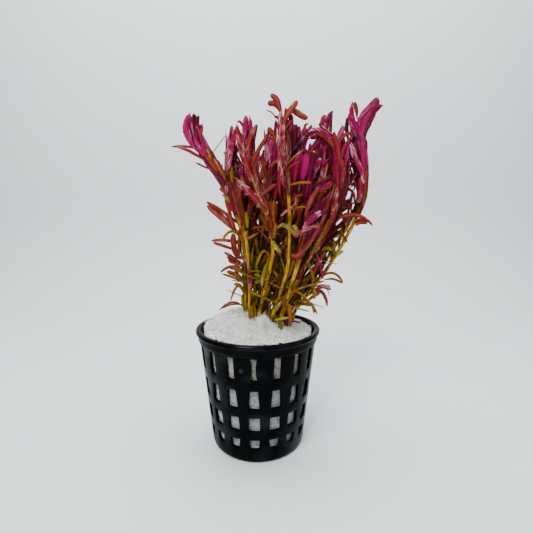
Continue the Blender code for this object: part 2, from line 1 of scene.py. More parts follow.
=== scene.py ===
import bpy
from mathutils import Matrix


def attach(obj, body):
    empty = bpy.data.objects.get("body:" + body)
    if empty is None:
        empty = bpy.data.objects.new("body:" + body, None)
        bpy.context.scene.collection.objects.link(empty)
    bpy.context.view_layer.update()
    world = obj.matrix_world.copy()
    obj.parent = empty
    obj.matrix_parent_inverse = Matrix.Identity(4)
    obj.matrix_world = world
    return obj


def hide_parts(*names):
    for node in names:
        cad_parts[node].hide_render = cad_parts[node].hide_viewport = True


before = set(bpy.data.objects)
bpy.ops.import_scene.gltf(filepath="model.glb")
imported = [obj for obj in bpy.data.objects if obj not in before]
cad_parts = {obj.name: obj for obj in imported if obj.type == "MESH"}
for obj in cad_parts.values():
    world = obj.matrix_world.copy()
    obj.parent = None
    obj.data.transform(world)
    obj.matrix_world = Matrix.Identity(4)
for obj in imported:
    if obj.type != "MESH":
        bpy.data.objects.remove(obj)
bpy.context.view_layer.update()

import math
import random
from collections import namedtuple

import bmesh
import bpy
import numpy as np
from mathutils import Vector
from mathutils import noise as perlin

MM = 0.001

# The view: a phone held over the plant, a hand's breadth and a half away, and
# looking down on it a little.
EYE = Vector((3.57, -133.74, 87.74))    # in mm
LOOKING_DOWN = math.radians(6.37)
camera_data = bpy.data.cameras.new("view")
camera_data.sensor_width = 36.0
camera_data.lens = 22.15
camera_data.clip_start = 0.01
camera = bpy.data.objects.new("view", camera_data)
camera.location = EYE * MM
camera.rotation_euler = (math.pi / 2 - LOOKING_DOWN, 0, 0)
bpy.context.scene.collection.objects.link(camera)
bpy.context.scene.camera = camera


# The net pot. One piece of injection-moulded black polypropylene: a tapered cup
# with a rolled lip, a plain collar and rows of windows that let the roots out.
POT_HEIGHT = 48.0 * MM
RIM_RADIUS = 25.5 * MM
LIP_INNER_RADIUS = 23.3 * MM
LIP_HEIGHT = 1.7 * MM
COLLAR_RADIUS = 24.6 * MM
COLLAR_HEIGHT = 4.4 * MM
WALL_TOP_RADIUS = 23.8 * MM
WALL_BOTTOM_RADIUS = 19.2 * MM
WALL = 1.2 * MM
BASE_RADIUS = 17.6 * MM
BASE_CORNER = 1.8 * MM
SLOT_RADII = (6.0 * MM, 14.5 * MM)
SLOT_WIDTHS = (0.9 * MM, 2.2 * MM)
PLAIN_STRIP = 3.0 * MM
COLUMNS = 18
FRONT_AZIMUTH = math.radians(-92.5)
COLUMN_SPREAD = math.radians(2.4)  # how much further the next columns stand from the front one
SPREAD_COLUMNS = 4                 # how many columns it takes to even that out
# Each row of windows: height of its bottom and top, then its width at each.
WINDOW_ROWS = (
    (6.1 * MM, 9.9 * MM, 3.0 * MM, 4.0 * MM),
    (13.6 * MM, 19.2 * MM, 4.2 * MM, 4.0 * MM),
    (22.9 * MM, 30.1 * MM, 3.9 * MM, 3.0 * MM),
    (34.3 * MM, 42.7 * MM, 2.7 * MM, 2.7 * MM),
)
CELLS = 3                # mesh cells across each window and each rib
PINCH = 0.55             # waist of the front window of the top row, where the mould flashed
PINCH_EASING = 0.35      # how much of its width that window has back at its ends
EDGE_ROUNDING = 0.22 * MM
SHARP_EDGE = math.radians(50)


class Wire:
    """An output of a node tree, on which Python arithmetic adds Math nodes."""

    def __init__(self, tree, socket=None):
        self.tree = tree
        self.socket = socket

    def node(self, kind, settings=(), sockets=(), output=0):
        """Adds any node: its settings first, then values or wires for its sockets."""
        made = self.tree.nodes.new(kind)
        for name, value in dict(settings).items():
            if name == "stops":
                ramp = made.color_ramp
                while len(ramp.elements) < len(value):
                    ramp.elements.new(0.5)
                for element, (place, colour) in zip(ramp.elements, value):
                    element.position = place
                    element.color = (*colour, 1.0)
            elif name == "captured":
                for field, data_type in value:
                    made.capture_items.new(data_type, field)
            else:
                setattr(made, name, value)
        for key, value in dict(sockets).items():
            if isinstance(value, Wire):
                self.tree.links.new(value.socket, made.inputs[key])
            else:
                made.inputs[key].default_value = value
        return Wire(self.tree, made.outputs[output] if len(made.outputs) else None)

    def other(self, name):
        """Another output of the same node."""
        return Wire(self.tree, self.socket.node.outputs[name])

    def math(self, operation, *values):
        return self.node("ShaderNodeMath", {"operation": operation}, dict(enumerate(values)))

    def __add__(self, value):
        return self.math("ADD", self, value)

    def __sub__(self, value):
        return self.math("SUBTRACT", self, value)

    def __rsub__(self, value):
        return self.math("SUBTRACT", value, self)

    def __mul__(self, value):
        return self.math("MULTIPLY", self, value)

    __radd__ = __add__
    __rmul__ = __mul__

    def clamped(self, low, high):
        """0 below low, 1 above high, and a smooth step between."""
        return self.node("ShaderNodeMapRange", {"interpolation_type": "SMOOTHSTEP"},
                         {0: self, "From Min": low, "From Max": high})

    def mix(self, first, second):
        """A colour from first to second, by this value."""
        return self.node("ShaderNodeMix", {"data_type": "RGBA"}, {0: self, 6: first, 7: second}, 2)


def new_material(name, **constants):
    """A Principled material with its constant sockets set, and a wire to build the rest from."""
    made = bpy.data.materials.new(name)
    made.use_nodes = True
    shader = made.node_tree.nodes["Principled BSDF"]
    for socket, value in constants.items():
        shader.inputs[socket.replace("_", " ")].default_value = value
    return made, shader, Wire(made.node_tree)


def wire_up(tree, shader, **links):
    for socket, wire in links.items():
        tree.links.new(wire.socket, shader.inputs[socket.replace("_", " ")])


def object_coordinates(wire, scale=(1, 1, 1)):
    place = wire.node("ShaderNodeTexCoord").other("Object")
    return wire.node("ShaderNodeMapping", {}, {"Vector": place, "Scale": scale})


def noise(wire, place, scale, detail=4, roughness=0.55):
    return wire.node("ShaderNodeTexNoise", {},
                     {"Vector": place, "Scale": scale, "Detail": detail, "Roughness": roughness})


def attribute(wire, name):
    return wire.node("ShaderNodeAttribute", {"attribute_name": name}, {}, 2)


def add_piece(name, mesh, material, slot, *nodes):
    """Puts a finished mesh in the scene as a piece that rides on the body and stands for nodes."""
    mesh.name = name
    if material is not None:
        mesh.materials.clear()
        mesh.materials.append(material)
    piece = bpy.data.objects.new(name, mesh)
    bpy.context.scene.collection.objects.link(piece)
    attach(piece, "root")
    if nodes:
        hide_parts(*nodes)
    return piece


def wall_radius(height):
    share = (height - BASE_CORNER) / (WINDOW_ROWS[-1][1] - BASE_CORNER)
    return WALL_BOTTOM_RADIUS + (WALL_TOP_RADIUS - WALL_BOTTOM_RADIUS) * share


def turned_grid(profile, azimuths):
    """A grid wrapped round Z, welded along its seam, and its vertices by column and row."""
    columns, rows = len(azimuths[0]) - 1, len(profile) - 1
    bm = bmesh.new()
    bmesh.ops.create_grid(bm, x_segments=columns, y_segments=rows, size=1.0)
    grid = {}
    for vert in bm.verts:
        i = round((vert.co.x + 1) / 2 * columns)
        j = round((vert.co.y + 1) / 2 * rows)
        radius, height = profile[j]
        vert.co = (radius * math.cos(azimuths[j][i]), radius * math.sin(azimuths[j][i]), height)
        grid[i, j] = vert
    return bm, grid


def column_azimuth(column):
    """Direction of a column of windows, counted round from the front one."""
    if column == COLUMNS:
        return FRONT_AZIMUTH + math.tau
    steps = min(column, COLUMNS - column, SPREAD_COLUMNS)
    spread = COLUMN_SPREAD * math.sin(math.pi / SPREAD_COLUMNS * steps)
    return FRONT_AZIMUTH + math.tau / COLUMNS * column + math.copysign(spread, COLUMNS / 2 - column)


slot_in, slot_out = SLOT_RADII
outer_side = [(0, 0, 0), (slot_in, 0, SLOT_WIDTHS[0]), (slot_out, 0, SLOT_WIDTHS[1])]
outer_side += [(BASE_RADIUS, 0, PLAIN_STRIP)]
for step in (1, 2, 3):
    turn = math.radians(30 * step)
    outer_side.append((
        BASE_RADIUS + (WALL_BOTTOM_RADIUS - BASE_RADIUS) * math.sin(turn),
        BASE_CORNER * (1 - math.cos(turn)),
        PLAIN_STRIP,
    ))
base_rows = len(outer_side)
for bottom, top, wide_low, wide_high in WINDOW_ROWS:
    for step in range(CELLS + 1):
        share = step / CELLS
        height = bottom + (top - bottom) * share
        outer_side.append((wall_radius(height), height, wide_low + (wide_high - wide_low) * share))
collar_bottom = POT_HEIGHT - COLLAR_HEIGHT
lip_bottom = POT_HEIGHT - LIP_HEIGHT
lip_side = [
    (WALL_TOP_RADIUS + 0.1 * MM, collar_bottom - 0.2 * MM),
    (COLLAR_RADIUS - 0.1 * MM, collar_bottom),
    (COLLAR_RADIUS, collar_bottom + 0.5 * MM),
    (COLLAR_RADIUS - 0.1 * MM, lip_bottom - 0.7 * MM),
    (COLLAR_RADIUS, lip_bottom - 0.1 * MM),
    (RIM_RADIUS - 0.3 * MM, lip_bottom),
    (RIM_RADIUS, lip_bottom + 0.4 * MM),
    (RIM_RADIUS, POT_HEIGHT - 0.6 * MM),
    (RIM_RADIUS - 0.35 * MM, POT_HEIGHT - 0.1 * MM),
    (RIM_RADIUS - 0.8 * MM, POT_HEIGHT),
    (LIP_INNER_RADIUS + 0.5 * MM, POT_HEIGHT),
    (LIP_INNER_RADIUS + 0.1 * MM, POT_HEIGHT - 0.3 * MM),
    (LIP_INNER_RADIUS, POT_HEIGHT - 1.2 * MM),
]
lip_rows = [(radius, height, math.pi / COLUMNS * radius) for radius, height in lip_side]
outer_wall = outer_side[base_rows:]
inner_side = [(radius - WALL, height, wide) for radius, height, wide in reversed(outer_wall)]
inner_side += [(BASE_RADIUS - 0.3 * MM, WALL, PLAIN_STRIP)]
inner_side += [(radius, WALL, wide) for radius, _, wide in reversed(outer_side[:3])]
pot_rows = outer_side + lip_rows + inner_side

first_inner = len(outer_side) + len(lip_rows)
top_window = [base_rows + 3 * (CELLS + 1) + k for k in range(CELLS + 1)]
top_window += [first_inner + k for k in range(CELLS + 1)]
window_ends = (top_window[0], top_window[CELLS], top_window[CELLS + 1], top_window[-1])
azimuths = []
for row, (radius, _, wide) in enumerate(pot_rows):
    ends = []
    for column in range(COLUMNS + 1):
        waist = 1.0
        if column % COLUMNS == 0 and row in top_window:
            waist = PINCH + (PINCH_EASING if row in window_ends else 0)
        half = wide * waist / 2 / radius if radius else math.tau / COLUMNS / 4
        ends += [column_azimuth(column) - half, column_azimuth(column) + half]
    line = []
    for start, end in zip(ends[:-2], ends[1:-1]):
        line += [start + (end - start) * k / CELLS for k in range(CELLS)]
    azimuths.append(line + [line[0] + math.tau])
pot, grid = turned_grid([(radius, height) for radius, height, _ in pot_rows], azimuths)

last = len(pot_rows) - 1
openings = [(1, 1, last - 2)]
for k in range(len(WINDOW_ROWS)):
    first = base_rows + k * (CELLS + 1)
    mirrored = first_inner + (len(WINDOW_ROWS) - 1 - k) * (CELLS + 1)
    openings.append((CELLS, first, mirrored))
for column in range(COLUMNS):
    left = column * 2 * CELLS
    for tall, outer_row, inner_row in openings:
        faces = []
        for row in (outer_row, inner_row):
            for i in range(left, left + CELLS):
                for j in range(row, row + tall):
                    corners = (grid[i, j], grid[i + 1, j], grid[i + 1, j + 1], grid[i, j + 1])
                    faces.append(pot.faces.get(corners))
        uses = {}
        for face in faces:
            for edge in face.edges:
                uses[edge] = uses.get(edge, 0) + 1
        rims = [edge for edge, count in uses.items() if count == 1]
        inner_edges = [edge for edge, count in uses.items() if count == 2]
        bmesh.ops.delete(pot, geom=faces, context="FACES_ONLY")
        bmesh.ops.delete(pot, geom=inner_edges, context="EDGES")
        bmesh.ops.bridge_loops(pot, edges=rims)
loose = [vert for vert in pot.verts if not vert.link_faces]
bmesh.ops.delete(pot, geom=loose, context="VERTS")
bmesh.ops.remove_doubles(pot, verts=pot.verts, dist=0.01 * MM)
bmesh.ops.recalc_face_normals(pot, faces=pot.faces)
pot_mesh = bpy.data.meshes.new("net_pot_shell")
pot.to_mesh(pot_mesh)
pot.free()

black_plastic, shader, wire = new_material(
    "black_pot_plastic", Metallic=0.0, Coat_Roughness=0.10, Coat_IOR=1.45, Specular_IOR_Level=0.03)
place = object_coordinates(wire)
cloudy = noise(wire, place, 90, 5)
scuffed = noise(wire, object_coordinates(wire, (1, 1, 0.25)), 900, 3)
# film marks patches of wet film: the coat follows them, and there the base colour turns from near black to
# a painted bluish sheen.
wet_film_and_painted_sheen = cloudy.clamped(0.46, 0.66)
wire_up(
    black_plastic.node_tree, shader,
    Base_Color=(wet_film_and_painted_sheen * 0.75).mix((0.0002, 0.0005, 0.0008, 1), (0.0022, 0.0042, 0.0056, 1)),
    Roughness=0.25 + 0.2 * scuffed,
    Coat_Weight=0.16 * wet_film_and_painted_sheen * wet_film_and_painted_sheen,
    Normal=wire.node("ShaderNodeBump", {}, {
        "Height": cloudy + 0.25 * scuffed, "Strength": 0.5, "Distance": 0.25 * MM}),
)

pot_object = bpy.data.objects.new("pot_maker", pot_mesh)
bpy.context.scene.collection.objects.link(pot_object)
rounded = pot_object.modifiers.new("rounded", "BEVEL")
rounded.width = EDGE_ROUNDING
rounded.segments = 2
rounded.limit_method = "ANGLE"
rounded.angle_limit = SHARP_EDGE
pot_done = bpy.data.meshes.new_from_object(
    pot_object.evaluated_get(bpy.context.evaluated_depsgraph_get()))
bpy.data.objects.remove(pot_object)
pot_done.shade_smooth()
pot_done.set_sharp_from_angle(angle=SHARP_EDGE)
add_piece("pot_shell", pot_done, black_plastic, "pot_plastic", "net_pot")

# Moulding marks on the pot: the round stub where the plastic was let in, on the rib
# left of the front, and four nubs of flash along the inner edge of the lip.
GATE_HEIGHT = 38.2 * MM
GATE_COLUMN = -0.55
GATE_RADIUS = 0.9 * MM
MARK_RELIEF = 0.6         # how far a mark stands out, as a share of its radius
NUB_STRETCH = 1.5
NUB_INSET = 0.3 * MM      # from the inner edge of the lip
NUB_DROP = 0.25 * MM
NUB_TOP = POT_HEIGHT + 0.28 * MM
# Each nub: its azimuth in degrees, and its radius.
NUBS = ((-128, 0.55 * MM), (-83, 0.45 * MM), (-69, 0.6 * MM), (-40, 0.4 * MM))
marks = bmesh.new()
gate_azimuth = FRONT_AZIMUTH + math.tau / COLUMNS * GATE_COLUMN
gate_radius = wall_radius(GATE_HEIGHT)
stub = bmesh.ops.create_uvsphere(marks, u_segments=16, v_segments=8, radius=GATE_RADIUS)["verts"]
for vert in stub:
    away = vert.co.x * MARK_RELIEF
    vert.co = Vector((
        (gate_radius + away) * math.cos(gate_azimuth) - vert.co.y * math.sin(gate_azimuth),
        (gate_radius + away) * math.sin(gate_azimuth) + vert.co.y * math.cos(gate_azimuth),
        GATE_HEIGHT + vert.co.z,
    ))
for azimuth, size in NUBS:
    turn = math.radians(azimuth)
    radius = LIP_INNER_RADIUS + NUB_INSET
    nub = bmesh.ops.create_icosphere(marks, subdivisions=2, radius=size)["verts"]
    for vert in nub:
        x, y = vert.co.x * MARK_RELIEF, vert.co.y * NUB_STRETCH
        vert.co = Vector((
            (radius + x) * math.cos(turn) - y * math.sin(turn),
            (radius + x) * math.sin(turn) + y * math.cos(turn),
            min(POT_HEIGHT - NUB_DROP + vert.co.z, NUB_TOP),
        ))
marks_mesh = bpy.data.meshes.new("marks")
marks.to_mesh(marks_mesh)
marks.free()
marks_mesh.shade_smooth()
rubbed_plastic, shader, wire = new_material("rubbed_pot_plastic", Metallic=0.0, Specular_IOR_Level=0.1)
rubbed = noise(wire, object_coordinates(wire), 1400, 3)
wire_up(
    rubbed_plastic.node_tree, shader,
    Roughness=0.3 + 0.3 * rubbed,
    Base_Color=rubbed.clamped(0.3, 0.7).mix((0.001, 0.002, 0.003, 1), (0.018, 0.030, 0.033, 1)),
)
add_piece("pot_moulding_marks", marks_mesh, rubbed_plastic, "pot_plastic")


# The filter wool. White polyester wadding, stuffed into the pot round the roots: it
# fills the windows from behind and stands in a soft heap above the rim.
WOOL_BOTTOM = 1.6 * MM
WOOL_EDGE_HEIGHT = 45.6 * MM
WOOL_HEAP = 7.5 * MM
WOOL_HEAP_CENTRE = (-4.0 * MM, 1.0 * MM)
WOOL_HEAP_SPREAD = 12.0 * MM
WOOL_PILE = 1.7 * MM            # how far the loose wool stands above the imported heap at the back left
WOOL_PILE_CENTRE = (-12.0 * MM, 6.0 * MM)
WOOL_PILE_SPREAD = 7.0 * MM
WOOL_HOLLOW = -2.2 * MM         # pressed in round the front stems
WOOL_HOLLOW_CENTRE = (-2.0 * MM, -4.5 * MM)
WOOL_HOLLOW_SPREADS = (3.2 * MM, 3.0 * MM)
WOOL_TUFT = 3.4 * MM            # a tuft pushed up before the stems
WOOL_TUFT_CENTRE = (2.6 * MM, -10.5 * MM)
WOOL_TUFT_SPREADS = (2.4 * MM, 1.8 * MM)
WOOL_RIPPLE = 0.7 * MM
WOOL_RIPPLE_START = 2.5 * MM    # from the rim inwards, the width over which the ripple grows
WOOL_SIDE_RIPPLE = 0.16 * MM
WOOL_SIDE_SINK = 1.3            # how many ripples deep it lies, to stay behind the windows
WOOL_SIDE_START = WINDOW_ROWS[0][0] - 3 * MM
WOOL_SIDE_STRETCH = (0.6, 2.2)  # its ripples are longer round the side and shorter up it
WOOL_FOOT_HEIGHT = BASE_CORNER + 2 * MM
WOOL_FOOT_INSET = 0.6 * MM      # how much narrower it is below that height
WOOL_CLEARANCE = 0.3 * MM
WOOL_LUMPS = 260                # soft lumps to the metre
WOOL_TANGLE = 1100              # and the finer tangle upon them
WOOL_SIDE_COLUMNS = 360
WOOL_SIDE_ROWS = 70
WOOL_TOP_ROWS = 80
# Heights between which the imported wool behind the windows turns from bluish to
# yellowish, and between which its darker colour, partly wet and stained wool and partly
# painted shade inside the pot, gives way to the loose white heap.
WOOL_STAINED_FROM = (31 * MM, 35 * MM)
WOOL_LOOSE_FROM = (43 * MM, 45 * MM)


def wool_surface(x, y):
    """Height of the heaped wool at a place inside the rim."""

    def mound(height, centre, spread_x, spread_y):
        dx, dy = (x - centre[0]) / spread_x, (y - centre[1]) / spread_y
        return height * math.exp(-(dx * dx + dy * dy) / 2)

    heap = mound(WOOL_HEAP, WOOL_HEAP_CENTRE, WOOL_HEAP_SPREAD, WOOL_HEAP_SPREAD)
    pile = mound(WOOL_PILE, WOOL_PILE_CENTRE, WOOL_PILE_SPREAD, WOOL_PILE_SPREAD)
    hollow = mound(WOOL_HOLLOW, WOOL_HOLLOW_CENTRE, *WOOL_HOLLOW_SPREADS)
    tuft = mound(WOOL_TUFT, WOOL_TUFT_CENTRE, *WOOL_TUFT_SPREADS)
    return WOOL_EDGE_HEIGHT + heap + pile + hollow + tuft


def ripple(x, y, z):
    """The unevenness of the wadding, from about -1 to 1: soft lumps, and the tangle upon them."""
    lumps = perlin.noise(Vector((x, y, z)) * WOOL_LUMPS)
    tangle = perlin.fractal(Vector((x, y, z)) * WOOL_TANGLE, 1.0, 2.0, 2)
    return 0.9 * lumps + 0.7 * tangle


wool_rows = [(0, WOOL_BOTTOM), (BASE_RADIUS - 1.0 * MM, WOOL_BOTTOM)]
for k in range(WOOL_SIDE_ROWS + 1):
    height = WOOL_SIDE_START + (WOOL_EDGE_HEIGHT - WOOL_SIDE_START) * k / WOOL_SIDE_ROWS
    inside = min(wall_radius(height), WALL_TOP_RADIUS) - WALL - WOOL_CLEARANCE
    if height < WOOL_FOOT_HEIGHT:
        inside -= WOOL_FOOT_INSET
    wool_rows.append((inside, height))
wool_edge_row = len(wool_rows) - 1
edge_radius = wool_rows[-1][0]
wool_rows += [(edge_radius * (1 - k / WOOL_TOP_ROWS), 0) for k in range(1, WOOL_TOP_ROWS + 1)]
even_azimuths = [math.tau * k / WOOL_SIDE_COLUMNS for k in range(WOOL_SIDE_COLUMNS + 1)]
wool, grid = turned_grid(wool_rows, [even_azimuths] * len(wool_rows))
around, upward = WOOL_SIDE_STRETCH
for (_, j), vert in grid.items():
    x, y, z = vert.co
    radius = math.hypot(x, y)
    if j > wool_edge_row:
        settled = min(1.0, (edge_radius - radius) / WOOL_RIPPLE_START)
        vert.co.z = wool_surface(x, y) + settled * WOOL_RIPPLE * ripple(x, y, 0)
    elif 1 < j <= wool_edge_row and radius > 0:
        relief = ripple(x * around, y * around, z * upward) - WOOL_SIDE_SINK
        push = 1 + WOOL_SIDE_RIPPLE * relief / radius
        vert.co.x, vert.co.y = x * push, y * push
bmesh.ops.remove_doubles(wool, verts=wool.verts, dist=0.01 * MM)
bmesh.ops.recalc_face_normals(wool, faces=wool.faces)
wool_mesh = bpy.data.meshes.new("wool")
wool.to_mesh(wool_mesh)
wool.free()
wool_mesh.shade_smooth()

white_wool, shader, wire = new_material(
    "white_filter_wool", Metallic=0.0, Roughness=0.9, Sheen_Weight=0.25, Sheen_Roughness=0.6)
height_there = wire.node("ShaderNodeSeparateXYZ", {}, {0: object_coordinates(wire)}, 2)
strands = noise(wire, object_coordinates(wire, (1, 1, 3.2)), 700, 6, 0.7)
tangle = noise(wire, object_coordinates(wire), 1500, 5, 0.7)
hollows = noise(wire, object_coordinates(wire), 260, 4)
specks = noise(wire, object_coordinates(wire), 2600, 2)
packed = 1 - height_there.clamped(*WOOL_LOOSE_FROM)
stained = height_there.clamped(*WOOL_STAINED_FROM)
# The heap is painted near black in its hollows and white on its lumps: the dark is painted shade, not the
# wool's own colour.
out_of_hollow_shade = (hollows + 0.4 * (tangle - 0.5)).clamped(0.36, 0.60)
heap_with_hollow_shade = out_of_hollow_shade.mix((0.20, 0.21, 0.18, 1), (0.88, 0.89, 0.86, 1))
# Behind the walls the wool is painted much darker than the heap: partly its wet and stained colour, partly
# painted shade inside the pot. shadowed_walls darkens it further between strands as painted shadow.
stained_and_shaded_walls = stained.mix((0.46, 0.50, 0.51, 1), (0.48, 0.47, 0.39, 1))
shadowed_walls = strands.clamped(0.4, 0.6).mix((0.20, 0.22, 0.23, 1), stained_and_shaded_walls)
fibrous = (strands.clamped(0.38, 0.64) * 0.4).mix(
    packed.mix(heap_with_hollow_shade, shadowed_walls),
    packed.mix((0.98, 0.99, 0.98, 1), stained_and_shaded_walls),
)
wire_up(
    white_wool.node_tree, shader,
    Base_Color=(specks.clamped(0.72, 0.76) * 0.6).mix(fibrous, (0.16, 0.12, 0.07, 1)),
    Normal=wire.node("ShaderNodeBump", {}, {
        "Height": strands + 0.6 * tangle, "Strength": 1.0, "Distance": 0.5 * MM}),
)
wool_piece = add_piece("wool_body", wool_mesh, white_wool, "filter_wool", "wool_plug")


# The wool's loose fibres: fine white threads, crimped and lying every way on the
# heap and round the plug where the windows show it.
FIBRE_RADIUS = 0.036 * MM
FIBRE_GIRTHS = (0.7, 1.0, 1.4, 2.2)
FIBRE_STEPS = 5
white_fibre, shader, wire = new_material(
    "white_wool_fibre", Metallic=0.0, Roughness=0.6, Specular_IOR_Level=0.4)
spots = noise(wire, object_coordinates(wire), 420, 4)
height_there = wire.node("ShaderNodeSeparateXYZ", {}, {0: object_coordinates(wire)}, 2)
stained = height_there.clamped(*WOOL_STAINED_FROM)
# Fibres behind the walls are painted darker likewise: partly stained, partly painted shade inside the pot.
stained_and_shaded_walls = stained.mix((0.58, 0.64, 0.65, 1), (0.58, 0.57, 0.49, 1))
on_heap = spots.clamped(0.36, 0.54).mix((0.66, 0.68, 0.64, 1), (1.0, 1.0, 0.98, 1))
wire_up(
    white_fibre.node_tree, shader,
    Base_Color=height_there.clamped(*WOOL_LOOSE_FROM).mix(stained_and_shaded_walls, on_heap),
)


def geometry_tree(name, **inputs):
    """An empty Geometry Nodes tree with named number inputs: the tree, its geometry and the inputs."""
    tree = bpy.data.node_groups.new(name, "GeometryNodeTree")
    tree.interface.new_socket("Geometry", in_out="INPUT", socket_type="NodeSocketGeometry")
    tree.interface.new_socket("Geometry", in_out="OUTPUT", socket_type="NodeSocketGeometry")
    for label, value in inputs.items():
        kind = "NodeSocketInt" if isinstance(value, int) else "NodeSocketFloat"
        tree.interface.new_socket(label, in_out="INPUT", socket_type=kind).default_value = value
    source = Wire(tree).node("NodeGroupInput")
    return tree, source, {label: source.other(label) for label in inputs}


def end_tree(geometry, material):
    """Realises, shades smooth and paints the geometry, and ends the tree with it."""
    real = geometry.node("GeometryNodeRealizeInstances", {}, {0: geometry})
    smooth = geometry.node("GeometryNodeSetShadeSmooth", {}, {0: real})
    painted = geometry.node("GeometryNodeSetMaterial", {}, {0: smooth, "Material": material})
    geometry.node("NodeGroupOutput", {}, {0: painted})


def grown_mesh(mesh, tree, **inputs):
    """The plain mesh that a tree makes from a mesh."""
    maker = bpy.data.objects.new("maker", mesh)
    bpy.context.scene.collection.objects.link(maker)
    grower = maker.modifiers.new("grower", "NODES")
    grower.node_group = tree
    for item in tree.interface.items_tree:
        if item.name in inputs:
            grower[item.identifier] = inputs[item.name]
    made = bpy.data.meshes.new_from_object(maker.evaluated_get(bpy.context.evaluated_depsgraph_get()))
    maker.modifiers.remove(grower)
    bpy.data.objects.remove(maker)
    return made


def round_rod_tree(name, thickness, sides, material):
    """A tree that makes lines into round rods, each point as thick as its girth says."""
    tree, source, given = geometry_tree(name, Thickness=thickness, Sides=sides)
    lines = source.node("GeometryNodeMeshToCurve", {}, {0: source})
    section = source.node("GeometryNodeCurvePrimitiveCircle", {}, {
        "Resolution": given["Sides"], "Radius": 1.0})
    girth = source.node("GeometryNodeInputNamedAttribute", {"data_type": "FLOAT"}, {"Name": "girth"})
    rods = source.node("GeometryNodeCurveToMesh", {}, {
        "Curve": lines, "Profile Curve": section, "Scale": girth * given["Thickness"],
        "Fill Caps": True})
    end_tree(rods, material)
    return tree


def line_mesh(name, lines, **fields):
    """A mesh of open lines, with a float or vector field for each of their points."""
    mesh = bpy.data.meshes.new(name)
    points = [tuple(point) for line in lines for point in line]
    edges = []
    start = 0
    for line in lines:
        edges += [(start + k, start + k + 1) for k in range(len(line) - 1)]
        start += len(line)
    mesh.from_pydata(points, edges, [])
    for label, values in fields.items():
        flat = [value for line in values for value in line]
        if isinstance(flat[0], float):
            mesh.attributes.new(label, "FLOAT", "POINT").data.foreach_set("value", flat)
        else:
            field = mesh.attributes.new(label, "FLOAT_VECTOR", "POINT")
            field.data.foreach_set("vector", [number for vector in flat for number in vector])
    return mesh


# The fibres lie in wisps: how many wisps there are on the heap, and of how many fibres,
# how long those are and how far off the wool they start, in mm, how far their middle may
# arch up, and how tightly they curl, in radians to the metre.
TOP_WISPS, TOP_FIBRES = 850, 6
TOP_LENGTHS = (1.8, 6.0)
TOP_LIFTS = (-0.15, 0.5)
TOP_ARCH = 1.8 * MM
TOP_WISP_CURL, TOP_FIBRE_CURL = 600, 500
TOP_SPREAD, TOP_SPLAY = 0.35, 0.45    # within a wisp: sideways in mm, and in direction
TUFT_SHARE = 0.07                     # of those wisps, the ones that stand on the tuft
TUFT_ARCHES = (1.5, 3.5)
TUFT_SPREAD = 1.6 * MM
RIM_CLEARANCE = 0.9 * MM              # between the fibres and the inside of the lip
RIM_TURN = 0.96                       # how a fibre that reaches it is led back inwards
# The same for the wisps round the side.
SIDE_WISPS, SIDE_FIBRES = 620, 6
SIDE_LENGTHS = (1.5, 4.5)
SIDE_LIFTS = (-0.04, 0.24)
SIDE_SPREAD, SIDE_SPLAY = 0.25, 0.12
draw = random.Random(5)
top_fibres, side_fibres = [], []
for _ in range(TOP_WISPS):
    radius = (edge_radius - 0.4 * MM) * math.sqrt(draw.random())
    turn = draw.uniform(0, math.tau)
    centre = (radius * math.cos(turn), radius * math.sin(turn))
    lie, curl = draw.uniform(0, math.tau), draw.uniform(-TOP_WISP_CURL, TOP_WISP_CURL)
    highest = draw.uniform(0.0, 1.0) ** 3 * TOP_ARCH
    if draw.random() < TUFT_SHARE:
        centre = tuple(draw.gauss(middle, TUFT_SPREAD) for middle in WOOL_TUFT_CENTRE)
        highest = draw.uniform(*TUFT_ARCHES) * MM
    for _ in range(TOP_FIBRES):
        x, y = (middle + draw.gauss(0, TOP_SPREAD) * MM for middle in centre)
        heading = lie + draw.gauss(0, TOP_SPLAY)
        bend = curl + draw.uniform(-TOP_FIBRE_CURL, TOP_FIBRE_CURL)
        length = draw.uniform(*TOP_LENGTHS) * MM / FIBRE_STEPS
        lift = draw.uniform(*TOP_LIFTS) * MM
        arch = highest * draw.uniform(0.2, 1.0)
        line = []
        for k in range(FIBRE_STEPS + 1):
            if math.hypot(x, y) > LIP_INNER_RADIUS - RIM_CLEARANCE:
                x, y = x * RIM_TURN, y * RIM_TURN
            up = lift + arch * math.sin(math.pi * k / FIBRE_STEPS)
            wool_height = wool_surface(x, y) + WOOL_RIPPLE * ripple(x, y, 0)
            line.append(Vector((x, y, wool_height + up)))
            x += math.cos(heading) * length
            y += math.sin(heading) * length
            heading += bend * length
        top_fibres.append(line)
for _ in range(SIDE_WISPS):
    middle = draw.uniform(WINDOW_ROWS[0][0] - 0.6 * MM, WINDOW_ROWS[-1][1])
    turned = draw.uniform(0, math.tau)
    rise = draw.gauss(0, 0.22)
    for _ in range(SIDE_FIBRES):
        height, turn = middle + draw.gauss(0, SIDE_SPREAD) * MM, turned + draw.gauss(0, 0.04)
        slope = rise + draw.gauss(0, SIDE_SPLAY)
        bend = draw.uniform(-0.12, 0.12)
        length = draw.uniform(*SIDE_LENGTHS) * MM / FIBRE_STEPS
        out = draw.uniform(*SIDE_LIFTS) * MM
        line = []
        for k in range(FIBRE_STEPS + 1):
            radius = wall_radius(height) - WALL - WOOL_CLEARANCE + out
            line.append(Vector((radius * math.cos(turn), radius * math.sin(turn), height)))
            turn += length / radius
            height += length * slope
            slope += bend
        side_fibres.append(line)
thread_tree = round_rod_tree("thread_along_line", FIBRE_RADIUS, 3, white_fibre)
for name, fibres in (("wool_fibres", top_fibres), ("wool_side_fibres", side_fibres)):
    girths = [[draw.choice(FIBRE_GIRTHS)] * len(line) for line in fibres]
    fibre_mesh = grown_mesh(line_mesh("fibre_lines", fibres, girth=girths), thread_tree)
    add_piece(name, fibre_mesh, None, "filter_wool")


